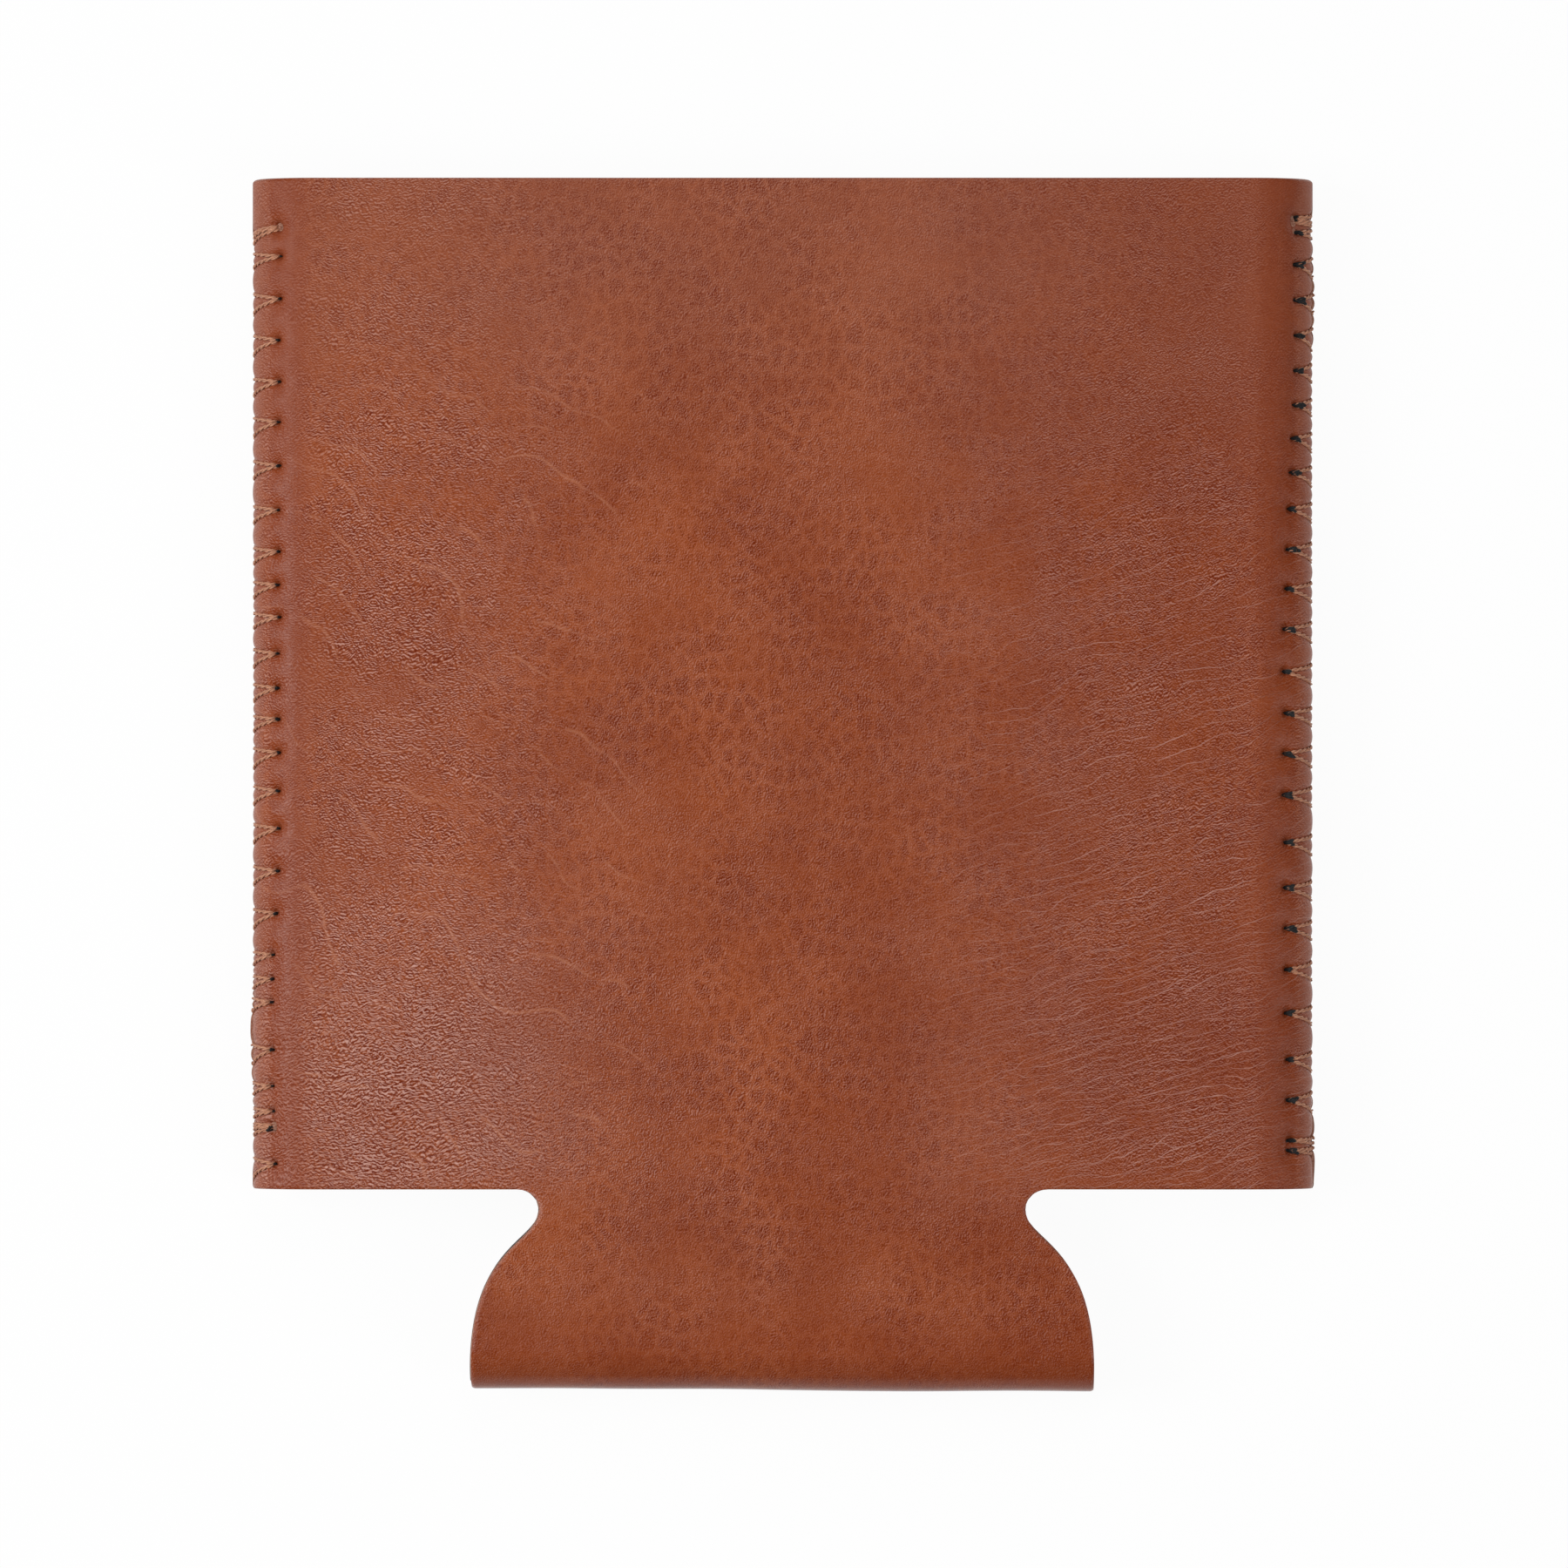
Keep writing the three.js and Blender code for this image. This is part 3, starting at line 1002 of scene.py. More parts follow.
@dataclass(frozen=True)
class HideLook:
    """Numbers of the leather's looks, in millimetres of the unfolded sheet.

    Names ending in u or v are ramps over the distance across the sheet or along it from the fold: low, high
    and, where it isn't 0 to 1, the range between them. Grains and lines list the inputs of their effects.
    """

    left_u: Span = (-12.0, -38.0)
    right_u: Span = (4.0, 38.0)
    low_v: Span = (70.0, 34.0)
    body_v: Span = (18.0, 25.0)
    patches: Span = (0.16, 3.0)
    firm_v: Span = (118.0, 82.0, 0.85, 1.0)
    firm_patch: Span = (0.3, 0.65, 0.55, 1.0)
    calm_v: Span = (116.0, 80.0, 0.7, 1.0)
    dye: Span = (15.0, 1.55)
    fine_grain: Span = (0.15, 1.15, -1.1, 0.5, 1.0)
    pulled_grain: Span = (0.165, 1.45, -0.12, 0.42, 2.5)
    slant_grain: Span = (0.15, 1.5, -0.34, 0.42, 2.0)
    coarse_grain: Span = (0.25, 1.6, -0.1, 0.5, 2.5)
    # Fibres where glints are painted: their turn, size and ramp.
    glint_turn: float = 1.0
    glint_fibres: Span = (0.5, 0.13)
    glint_ramp: Span = (0.6, 1.0)
    rising_lines: Span = (-0.34, 1.1, 8.0, 2.8, 0.04, 0.54)
    close_lines: Span = (-0.24, 0.72, 6.0, 3.2, 0.058, 0.6)
    falling_lines: Span = (0.6, 4.2, 13.0, 2.6, 0.06, 0.42)
    stroke_v: Span = (112.0, 66.0)
    fold_u: Span = (-8.0, -20.0)
    fold_v: Span = (116.0, 90.0)
    corner_u: Span = (5.0, -35.0)
    corner_v: Span = (62.0, 30.0)


class HideMap:
    """Where each trait of the leather shows, as values over the sheet."""

    def __init__(self, bench: MaterialBench, look: HideLook) -> None:
        """Wire the regions, grains and lines.

        Args:
            bench: The leather's bench.
            look: Numbers of its looks.
        """
        place, effects, ramp, times = bench.place, bench.effects, bench.ramp, bench.times
        u, v, _ = bench.split(place)
        self.out, self.along = (bench.math("ABSOLUTE", part) for part in (u, v))
        self.left, self.right = ramp(u, *look.left_u), ramp(u, *look.right_u)
        body = ramp(self.along, *look.body_v)
        self.sides = times(bench.math("MAXIMUM", self.left, self.right), body)
        self.patchy = bench.noise(place, *look.patches)
        self.firm = times(ramp(self.along, *look.firm_v), ramp(self.patchy, *look.firm_patch))
        self.calm = ramp(self.along, *look.calm_v)
        self.dye = bench.use(effects.mottling, place, *look.dye)
        self.spots = times(self.dye["Spots"], self.firm)
        grains = (look.fine_grain, look.pulled_grain, look.slant_grain, look.coarse_grain)
        self.fine, pulled, slant, self.coarse = (bench.use(effects.grain, place, *grain) for grain in grains)
        # The grain's height, the side where shade is painted and the side where a highlight is painted.
        self.dome, self.crease, self.grain_highlights = (
            bench.between(self.right, pulled[part], slant[part]) for part in HideGrain.gives
        )
        # Fine flecks where glints are painted, with a faint bump.
        hair = bench.use(effects.fibres, bench.turn(place, look.glint_turn), *look.glint_fibres)
        self.glint_flecks = ramp(hair["Tone"], *look.glint_ramp)
        lines = (look.rising_lines, look.close_lines, look.falling_lines)
        rising, close, falling = (bench.use(effects.lines, place, *line)["Line"] for line in lines)
        low = ramp(self.along, *look.low_v)
        # Drawn lines on the right: low ridges that also carry painted highlights.
        strokes = bench.math("MAXIMUM", times(rising, self.right), times(close, self.right, low))
        self.strokes = times(strokes, body, ramp(self.along, *look.stroke_v))
        self.folds = times(times(falling, ramp(u, *look.fold_u)), body, ramp(self.along, *look.fold_v))
        self.corner = times(times(ramp(u, *look.corner_u), ramp(self.along, *look.corner_v)), body)


@dataclass(frozen=True)
class GrainedLeather(Finish):
    """Dyed, coated leather face: fine pits in the middle, grain drawn out to the seams, with highlights and
    shade painted on the grain, shade painted beside the seams and sheen painted on the rims.

    Numbers are as in HideLook; a share is how much of a layer shows, and a depth is in millimetres.
    """

    title = "grained_leather"
    look: HideLook = HideLook()
    light: Colour = (0.360, 0.080, 0.021)
    middle: Colour = (0.290, 0.058, 0.0150)
    # Dark of the dye's pits, also used for shade painted on the grain and over the right half.
    dark_dye_and_shade: Colour = (0.158, 0.0155, 0.0020)
    haze: Colour = (0.245, 0.050, 0.018)
    # Paler, greyer colour toward the mouth: a painted reflection haze.
    mouth_haze: Colour = (0.300, 0.090, 0.047)
    vein: Colour = (0.400, 0.110, 0.048)
    # Paler colour of the stretched folds, also used for the painted glint flecks.
    pale_fold_and_glint: Colour = (0.50, 0.19, 0.105)
    # Colour of the highlights painted on the grain and along the drawn lines.
    painted_highlight: Colour = (0.62, 0.335, 0.275)
    # Colour of the shade painted in a band beside the seams and on the tab near the fold.
    painted_shade_band: Colour = (0.240, 0.040, 0.008)
    # Colour of the sheen painted on the rolled rims at the seams.
    rim: Colour = (0.34, 0.12, 0.074)
    left_light_share: float = 0.3
    haze_share: float = 0.4
    mouth_v: Span = (84.0, 116.0, 0.0, 0.45)
    spot_share: float = 0.3
    vein_share: float = 0.36
    vein_sides: Span = (-0.6, 1.0)
    deep_spots: Span = (0.7, 0.34)
    keen_spots: Span = (0.55, 0.78)
    corner_shade: float = 0.85
    fold_shade_cut: float = 0.5
    right_u: Span = (44.0, 48.5, 0.32, 0.1)
    corner_highlights: float = 0.5
    fine_highlights: float = 0.32
    side_highlights: Span = (0.8, 0.5)
    corner_gain: float = 0.9
    highlight_u: Span = (42.0, 47.0, 1.0, 0.8)
    fold_share: float = 0.42
    stroke_highlight_share: float = 0.7
    glint_share: float = 0.18
    seam_u: Span = (46.0, 48.5)
    seam_end_u: Span = (51.6, 50.6)
    seam_shade_share: float = 0.58
    rim_sheen_u: Span = (50.6, 52.8, 0.0, 0.55)
    tab_v: Span = (13.0, 6.0, 0.0, 0.4)
    pit_depth: float = 0.007
    pulled_depth: float = 0.018
    coarse_depth: float = 0.028
    line_depth: float = 0.022
    fold_depth: float = 0.014
    glint_depth: float = 0.003
    island_depth: float = 0.008
    fold_calm: float = 0.4
    tab_calm_v: Span = (16.0, 25.0, 0.5, 1.0)
    coarse_sides: float = 0.4
    rough_patch: Span = (0.25, 0.75, 0.18, 0.24)
    rough_v: Span = (85.0, 118.0, 0.0, 0.12)
    rough_u: Span = (42.5, 46.5, 0.0, 0.12)
    ior: float = 1.47
    specular: float = 0.2

    def surface(self, bench: MaterialBench) -> Socket:
        """Wire the leather.

        Args:
            bench: The material's bench.

        Returns:
            The shader.
        """
        hide = HideMap(bench, self.look)
        rough = bench.ramp(hide.patchy, *self.rough_patch)
        for place, span in ((hide.along, self.rough_v), (hide.out, self.rough_u)):
            rough = bench.math("ADD", rough, bench.ramp(place, *span))
        rest = {"Roughness": rough, "IOR": self.ior, "Specular IOR Level": self.specular}
        return bench.coat(self.colour(bench, hide), self.height(bench, hide), MM, rest)

    def colour(self, bench: MaterialBench, hide: HideMap) -> Socket:
        """Lay the dye, the shade and highlights painted on the grain, and the shade and sheen painted by the
        edges over each other.

        Args:
            bench: The material's bench.
            hide: Where each trait shows.

        Returns:
            The base colour.
        """
        ramp, times = bench.ramp, bench.times
        veins = times(hide.dye["Veins"], bench.blend(hide.sides, *self.vein_sides))
        # Band beside the seams where shade is painted.
        worn = times(ramp(hide.out, *self.seam_u), ramp(hide.out, *self.seam_end_u))
        # Lighter toward the left: the dye's random tone, with light painted over the left half, where the
        # strongest lamps stand.
        pale = bench.blend(hide.left, self.left_light_share, hide.dye["Tone"], clamp=True)
        colour = bench.mix(pale, self.middle, self.light)
        for share, over in (
            (times(hide.dye["Haze"], self.haze_share), self.haze),
            # painted reflection haze toward the mouth
            (ramp(hide.along, *self.mouth_v), self.mouth_haze),
            (times(hide.spots, self.spot_share), self.dark_dye_and_shade),
            (times(veins, self.vein_share), self.vein),
            # painted shade on one side of the grain's bumps
            (self.grain_shade(bench, hide), self.dark_dye_and_shade),
            # darker over the right half: deeper dye, with shade painted on the side away from the strongest
            # lamps
            (times(hide.right, ramp(hide.out, *self.right_u)), self.dark_dye_and_shade),
            # painted highlights on one side of the grain's bumps
            (self.grain_highlights(bench, hide), self.painted_highlight),
            (times(hide.folds, self.fold_share), self.pale_fold_and_glint),
            # painted highlights along the drawn lines
            (times(hide.strokes, self.stroke_highlight_share), self.painted_highlight),
            # painted glints in fine flecks
            (times(hide.glint_flecks, self.glint_share), self.pale_fold_and_glint),
            # painted shade in a band beside the seams
            (times(worn, self.seam_shade_share), self.painted_shade_band),
            # painted sheen on the rolled rims
            (ramp(hide.out, *self.rim_sheen_u), self.rim),
            # painted shade on the tab near the fold
            (ramp(hide.along, *self.tab_v), self.painted_shade_band),
        ):
            colour = bench.mix(share, colour, over)
        return colour

    def grain_shade(self, bench: MaterialBench, hide: HideMap) -> Socket:
        """Wire the shade painted on one side of the grain's bumps.

        Args:
            bench: The material's bench.
            hide: Where each trait shows.

        Returns:
            Share of the dark colour that is painted as shade.
        """
        times = bench.times
        deep = bench.blend(hide.spots, *self.deep_spots)
        keen = times(times(hide.firm, hide.calm), bench.blend(hide.dye["Spots"], *self.keen_spots))
        grain_shade = bench.between(hide.sides, times(hide.fine["Crease"], deep), times(hide.crease, keen))
        coarse = times(hide.coarse["Crease"], hide.corner, self.corner_shade)
        smooth = bench.math("SUBTRACT", 1.0, times(hide.folds, self.fold_shade_cut))
        return times(bench.math("MAXIMUM", grain_shade, coarse), smooth)

    def grain_highlights(self, bench: MaterialBench, hide: HideMap) -> Socket:
        """Wire the highlights painted on one side of the grain's bumps.

        Args:
            bench: The material's bench.
            hide: Where each trait shows.

        Returns:
            Share of the painted highlight colour.
        """
        times = bench.times
        grain_highlights = bench.between(times(hide.corner, self.corner_highlights), hide.grain_highlights, hide.coarse["Worn"])
        drawn = times(times(grain_highlights, hide.calm), bench.between(hide.right, *self.side_highlights))
        grain_highlights = bench.between(hide.sides, times(hide.fine["Worn"], self.fine_highlights), drawn)
        grain_highlights = times(grain_highlights, bench.blend(hide.corner, self.corner_gain, hide.firm))
        return bench.math("MINIMUM", times(grain_highlights, bench.ramp(hide.out, *self.highlight_u)), 1.0)

    def height(self, bench: MaterialBench, hide: HideMap) -> Socket:
        """Add up the heights of the grain, strokes, islands, folds and flecks.

        Args:
            bench: The material's bench.
            hide: Where each trait shows.

        Returns:
            Height in millimetres.
        """
        times = bench.times
        fine, drawn = times(hide.fine["Height"], self.pit_depth), times(hide.dome, self.pulled_depth)
        total = bench.between(hide.sides, fine, drawn)
        total = times(total, hide.firm, bench.math("SUBTRACT", 1.0, times(hide.folds, self.fold_calm)))
        total = times(total, bench.ramp(hide.along, *self.tab_calm_v))
        broad = bench.math("MAXIMUM", hide.corner, times(hide.sides, self.coarse_sides))
        for height, depth in (
            (times(hide.coarse["Height"], broad), self.coarse_depth),
            (hide.strokes, self.line_depth),
            (hide.spots, self.island_depth),
            (hide.folds, self.fold_depth),
            (hide.glint_flecks, self.glint_depth),
        ):
            total = bench.blend(height, depth, total)
        return total


@dataclass(frozen=True)
class RawEdge(Finish):
    """Cut edge and flesh side of the leather: pale matted fibres, with shade painted in the pores."""

    title = "raw_leather_edge"
    pale: Colour = (0.50, 0.27, 0.19)
    deep: Colour = (0.26, 0.085, 0.045)
    fibres: Span = (0.5, 0.12)
    pores: Span = (0.3,)
    pit_shade_share: float = 0.35
    depth: float = 0.05 * MM
    rough: float = 0.85

    def surface(self, bench: MaterialBench) -> Socket:
        """Wire the raw edge.

        Args:
            bench: The material's bench.

        Returns:
            The shader.
        """
        fibre = bench.use(bench.effects.fibres, bench.place, *self.fibres)
        pores = bench.use(bench.effects.pores, bench.place, *self.pores)
        colour = bench.mix(fibre["Tone"], self.deep, self.pale)
        # shade painted in the pores
        colour = bench.mix(bench.times(pores["Pit"], self.pit_shade_share), colour, self.deep)
        return bench.coat(colour, fibre["Height"], self.depth, {"Roughness": self.rough})


@dataclass(frozen=True)
class BlackFoam(Finish):
    """Cut face of the black foam, with fine open cells and shade painted in their pits."""

    title = "black_foam"
    body: Colour = (0.016, 0.016, 0.018)
    pit_shade: Colour = (0.004, 0.004, 0.0045)
    pores: Span = (0.22,)
    depth: float = 0.06 * MM
    rough: float = 0.78

    def surface(self, bench: MaterialBench) -> Socket:
        """Wire the foam.

        Args:
            bench: The material's bench.

        Returns:
            The shader.
        """
        pores = bench.use(bench.effects.pores, bench.place, *self.pores)
        # shade painted in the pores' pits
        colour = bench.mix(pores["Pit"], self.body, self.pit_shade)
        return bench.coat(colour, pores["Height"], self.depth, {"Roughness": self.rough})


@dataclass(frozen=True)
class KnitLining(Finish):
    """Fine black knit on the foam's inside, with shade painted in the gaps between its loops; lengths are in
    millimetres.
    """

    title = "knit_lining"
    yarn: Colour = (0.024, 0.024, 0.027)
    # Colour of the shade painted in the gaps between the loops.
    gap: Colour = (0.005, 0.005, 0.006)
    course: float = 0.5
    lean: float = 0.8
    loop_ramp: Span = (0.0, 0.2)
    wale_ramp: Span = (0.02, 0.2)
    fibres: Span = (0.6, 0.08)
    fibre_share: float = 0.4
    depth: float = 0.09 * MM
    rough: float = 0.82
    sheen: float = 0.15

    def surface(self, bench: MaterialBench) -> Socket:
        """Wire the knit.

        Args:
            bench: The material's bench.

        Returns:
            The shader.
        """
        u, v, _ = bench.split(bench.place)
        wale = bench.math("PINGPONG", u, self.course)
        loop = bench.math("PINGPONG", bench.blend(wale, self.lean, v), self.course / 2)
        ridge = bench.times(bench.ramp(loop, *self.loop_ramp), bench.ramp(wale, *self.wale_ramp))
        fibre = bench.use(bench.effects.fibres, bench.place, *self.fibres)
        ridge = bench.blend(fibre["Height"], self.fibre_share, ridge)
        rest = {"Roughness": self.rough, "Sheen Weight": self.sheen}
        # shade painted in the gaps between the loops
        return bench.coat(bench.mix(ridge, self.gap, self.yarn), ridge, self.depth, rest)


@dataclass(frozen=True)
class SewingThread(Finish):
    """Twisted sewing thread with fine fibres along each ply."""

    title: str = "needle_thread"
    body: Colour = (0.62, 0.28, 0.155)
    deep: Colour = (0.26, 0.088, 0.042)
    rough: float = 0.5
    sheen: float = 0.15
    fibres: Span = (0.7, 0.05)
    body_ramp: Span = (0.0, 0.75)
    depth: float = 0.015 * MM

    def surface(self, bench: MaterialBench) -> Socket:
        """Wire the thread.

        Args:
            bench: The material's bench.

        Returns:
            The shader.
        """
        fibre = bench.use(bench.effects.fibres, bench.place, *self.fibres)
        colour = bench.mix(bench.ramp(fibre["Tone"], *self.body_ramp), self.deep, self.body)
        rest = {"Roughness": self.rough, "Sheen Weight": self.sheen}
        return bench.coat(colour, fibre["Height"], self.depth, rest)


@dataclass(frozen=True)
class PaleFloor(Finish):
    """Plain white table that keeps a light shadow of the cooler."""

    title = "white_table"
    white: Colour = (0.95, 0.95, 0.95)
    shade: float = 0.05

    def surface(self, bench: MaterialBench) -> Socket:
        """Wire the table, white to the camera and in reflections but for the shadow's share.

        Args:
            bench: The material's bench.

        Returns:
            The shader.
        """
        cloth = bench.add("ShaderNodeBsdfDiffuse", {"Color": self.white})[0]
        glow = bench.add("ShaderNodeEmission", {"Strength": 1.0})[0]
        path = bench.add("ShaderNodeLightPath")
        seen = bench.math("MAXIMUM", path["Is Camera Ray"], path["Is Glossy Ray"])
        seen = bench.math("MAXIMUM", seen, path["Is Transmission Ray"])
        share = bench.times(seen, 1.0 - self.shade)
        return bench.add("ShaderNodeMixShader", {0: share, 1: cloth, 2: glow})[0]


BLACK_THREAD = SewingThread("bobbin_thread", (0.007, 0.007, 0.008), (0.002, 0.002, 0.0025), 0.65, 0.0)


class Finishes:
    """The materials of every piece."""

    def __init__(self) -> None:
        """Make the materials once."""
        effects = Effects()
        finishes = (GrainedLeather(), RawEdge(), BlackFoam(), KnitLining(), SewingThread(), BLACK_THREAD)
        made = (finish.make(effects) for finish in finishes)
        self.leather, self.raw, self.foam, self.knit, self.needle, self.bobbin = made


@dataclass
class Layer:
    """One layer of the sheet, in the pieces that the opening motion needs."""

    form: FoldedForm
    finishes: Finishes

    def bend(self, obj: Piece, half: Half, side: Side, strip: Strip) -> None:
        """Bake a side piece's transform into its mesh; the ends of the crease where its strip starts are
        worked out but not used.

        Args:
            obj: The piece.
            half: Front or back.
            side: Which seam.
            strip: The inner or the outer strip.
        """
        form, inner = self.form, strip is Strip.INNER
        near, at = (Strip.CENTRE, form.inner_bend) if inner else (Strip.INNER, form.outer_bend)
        start, end = ((side.way * (at + off), 0, 0) for off in (-form.bend_half, form.bend_half))
        body_name(half, near, side)
        body_name(half, strip, side)
        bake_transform(obj)
        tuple(start)
        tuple(end)

    def hang(self, obj: Piece, half: Half) -> None:
        """Bake the transform of a piece of the tab into its mesh; the ends of the bend at the body's lower
        edge are worked out but not used.
        """
        start, end = ((0, self.form.lower_y - drop, 0) for drop in (0.0, self.form.neck_blend))
        body_name(half, Strip.CENTRE)
        body_name(half, Strip.TAB)
        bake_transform(obj)
        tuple(start)
        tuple(end)


@dataclass
class LeatherSheet(Layer):
    """The leather: the body's pieces, two necks and the piece round the fold."""

    relief: LeatherRelief
    row_step: float = 1.0 * MM
    outer_step: float = 0.9 * MM
    seam_row_step: float = 0.24 * MM
    seam_col_step: float = 0.22 * MM
    seam_margin: float = 2.0 * MM
    fold_row_step: float = 0.5 * MM
    tab_columns: int = 86
    tab_coarse: int = 2
    cut_lean: float = 0.13 * MM
    fold_skew: float = -0.0055
    skew_span: Span = (50.0 * MM, 58.0 * MM)
    fold_blend: float = 3.25 * MM

    def dress(
        self, shell: Shell, name: str, nodes: Sequence[str], flat: tuple[float, float], area: float
    ) -> Piece:
        """Build a leather piece and hide the CAD nodes that it replaces.

        Args:
            shell: Its skin.
            name: Its name.
            nodes: CAD nodes that it replaces.
            flat: Width and length of its cut; not used.
            area: Area of its cut; not used.

        Returns:
            The piece.
        """
        obj = shell.build(name, (self.finishes.leather, self.finishes.raw), 1, 1)
        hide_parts(*nodes)
        LOG.info("%s: %d faces", obj.name, len(obj.data.polygons))
        return obj

    def body_piece(self, half: Half, strip: Strip, side: Side | None, columns: Array, y: Array) -> Piece:
        """Build a piece of the body above the lower edge.

        Args:
            half: Front or back.
            strip: Which part of the half.
            side: Its seam; none for the centre.
            columns: Distances across the sheet from the middle line, negative on the left.
            y: Heights of the grid's rows.

        Returns:
            The piece.
        """
        form, rows = self.form, y[:, None]
        ways, s = np.where(columns < 0, -1.0, 1.0), np.abs(columns)
        x, h, nx, nh = self.relief.section.at(s)
        v = half.up * form.sheet_y(rows)

        def height(ds: float, dy: float) -> Array:
            """Relief near each grid point."""
            return self.relief.body(half, side, ways * (s + ds), rows + dy)

        def points(off: Array) -> Array:
            """Grid points at a distance off the plain face."""
            return stack(ways * (x + nx * off), rows, form.middle_z + half.up * (h + nh * off))

        slope_s, slope_y = slopes(height)
        normals = stack(ways * (nx - slope_s * nh), -slope_y, half.up * (nh + slope_s * nx))
        inside = points(self.relief.swells(columns, v) - form.leather)
        shell = Shell(points(height(0.0, 0.0)), inside, stack(columns, v), unit(normals))
        width, length = float(np.ptp(columns)), form.mouth_y - form.lower_y
        name, node = f"{body_name(half, strip, side)}_leather", node_name(half, "leather", strip, side)
        return self.dress(shell, name, [node], (width, length), width * length)

    def build_half(self, half: Half) -> None:
        """Build the centre and side pieces of a half.

        Args:
            half: Front or back.
        """
        form, section = self.form, self.relief.section
        y = stations(form.lower_y, form.mouth_y, self.row_step, True, True)
        seam_y = stations(form.lower_y, form.mouth_y, self.seam_row_step, True, True)
        s = stations(0.0, form.corner_x, self.row_step)
        centre = self.body_piece(half, Strip.CENTRE, None, np.concatenate([-s[:0:-1], s]), y)
        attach(centre, body_name(half, Strip.CENTRE))
        inner = form.crease_columns(form.corner_x, form.crease_split, form.inner_bend, self.row_step)
        fine = section.flat_end - self.seam_margin
        outer = form.crease_columns(form.crease_split, fine, form.outer_bend, self.outer_step)
        outer = np.concatenate([outer[:-1], stations(fine, section.length, self.seam_col_step)])
        for side in Side:
            for strip, columns, rows in ((Strip.INNER, inner, y), (Strip.OUTER, outer, seam_y)):
                obj = self.body_piece(half, strip, side, columns * side.way, rows)
                self.bend(obj, half, side, strip)

    def tab_piece(self, name: str, v: Array, nodes: Sequence[str]) -> Piece:
        """Build a stretch of the tab between two distances from the fold line.

        Args:
            name: Name of the piece.
            v: Distances along the sheet from the fold line, the grid's rows; the front's are positive.
            nodes: CAD nodes that it replaces.

        Returns:
            The piece.
        """
        form, v = self.form, v[:, None]
        turn = np.clip(v / form.face_h, -math.pi / 2, math.pi / 2)
        sin, cos = np.sin(turn), np.cos(turn)
        flat = np.maximum(np.abs(v) - form.face_h * math.pi / 2, 0.0)
        y = form.fold_centre_y + flat - form.face_h * cos
        edge = form.neck_outline(np.minimum(y, form.lower_y))
        middle = np.linspace(-1.0, 1.0, self.tab_columns)[1:-1] * (edge - CLOSE_LINES[-1])
        x = np.concatenate([CLOSE_LINES - edge, middle, edge - CLOSE_LINES[::-1]], axis=1)
        skew = self.fold_skew * x * smoothstep(-y, *self.skew_span)

        def height(dx: float, dv: float) -> Array:
            """Relief near each grid point."""
            gap = np.clip(edge - np.abs(x + dx), 0.0, None)
            return self.relief.swells(x + dx, v + dv) + self.relief.roll(gap)

        def points(off: Array, lean: float) -> Array:
            """Grid points at a distance off the plain face, leaning towards one cut edge."""
            leaning = x - lean * smoothstep(np.abs(x), 0.0, edge)
            return stack(leaning, y - cos * off + skew, form.middle_z + form.face_h * sin + sin * off)

        slope_x, slope_v = slopes(height)
        normals = stack(-slope_x, -cos - slope_v * sin, sin - slope_v * cos)
        inside = points(self.relief.swells(x, v) - form.leather, self.cut_lean)
        shell = Shell(points(height(0.0, 0.0), 0.0), inside, stack(x, v), unit(normals), self.tab_coarse)
        width, length = 2 * float(edge.max()), float(v[-1, 0] - v[0, 0])
        area = float(np.sum((edge[1:] + edge[:-1]) * np.diff(v, axis=0)))
        return self.dress(shell, name, nodes, (width, length), min(area, width * length))

    def build_tab(self) -> None:
        """Build the neck of each half and the one piece that goes round the fold."""
        form = self.form
        top, split = (float(form.sheet_y(y)) for y in (form.lower_y, form.fold_piece_top))
        nodes = {half: node_name(half, "leather", Strip.TAB) for half in Half}
        rows = stations(split, top, self.fold_row_step, end_edge=True)
        for half, v in ((Half.FRONT, rows), (Half.BACK, -rows[::-1])):
            self.hang(self.tab_piece(f"{half.value}_neck_leather", v, [nodes[half]]), half)
        rows = stations(-split, split, self.fold_row_step)
        fold = self.tab_piece("fold_leather", rows, list(nodes.values()))
        start, end = ((0, 0, form.middle_z + way * self.fold_blend) for way in (1.0, -1.0))
        body_name(Half.FRONT, Strip.TAB)
        body_name(Half.BACK, Strip.TAB)
        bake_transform(fold)
        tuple(start)
        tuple(end)


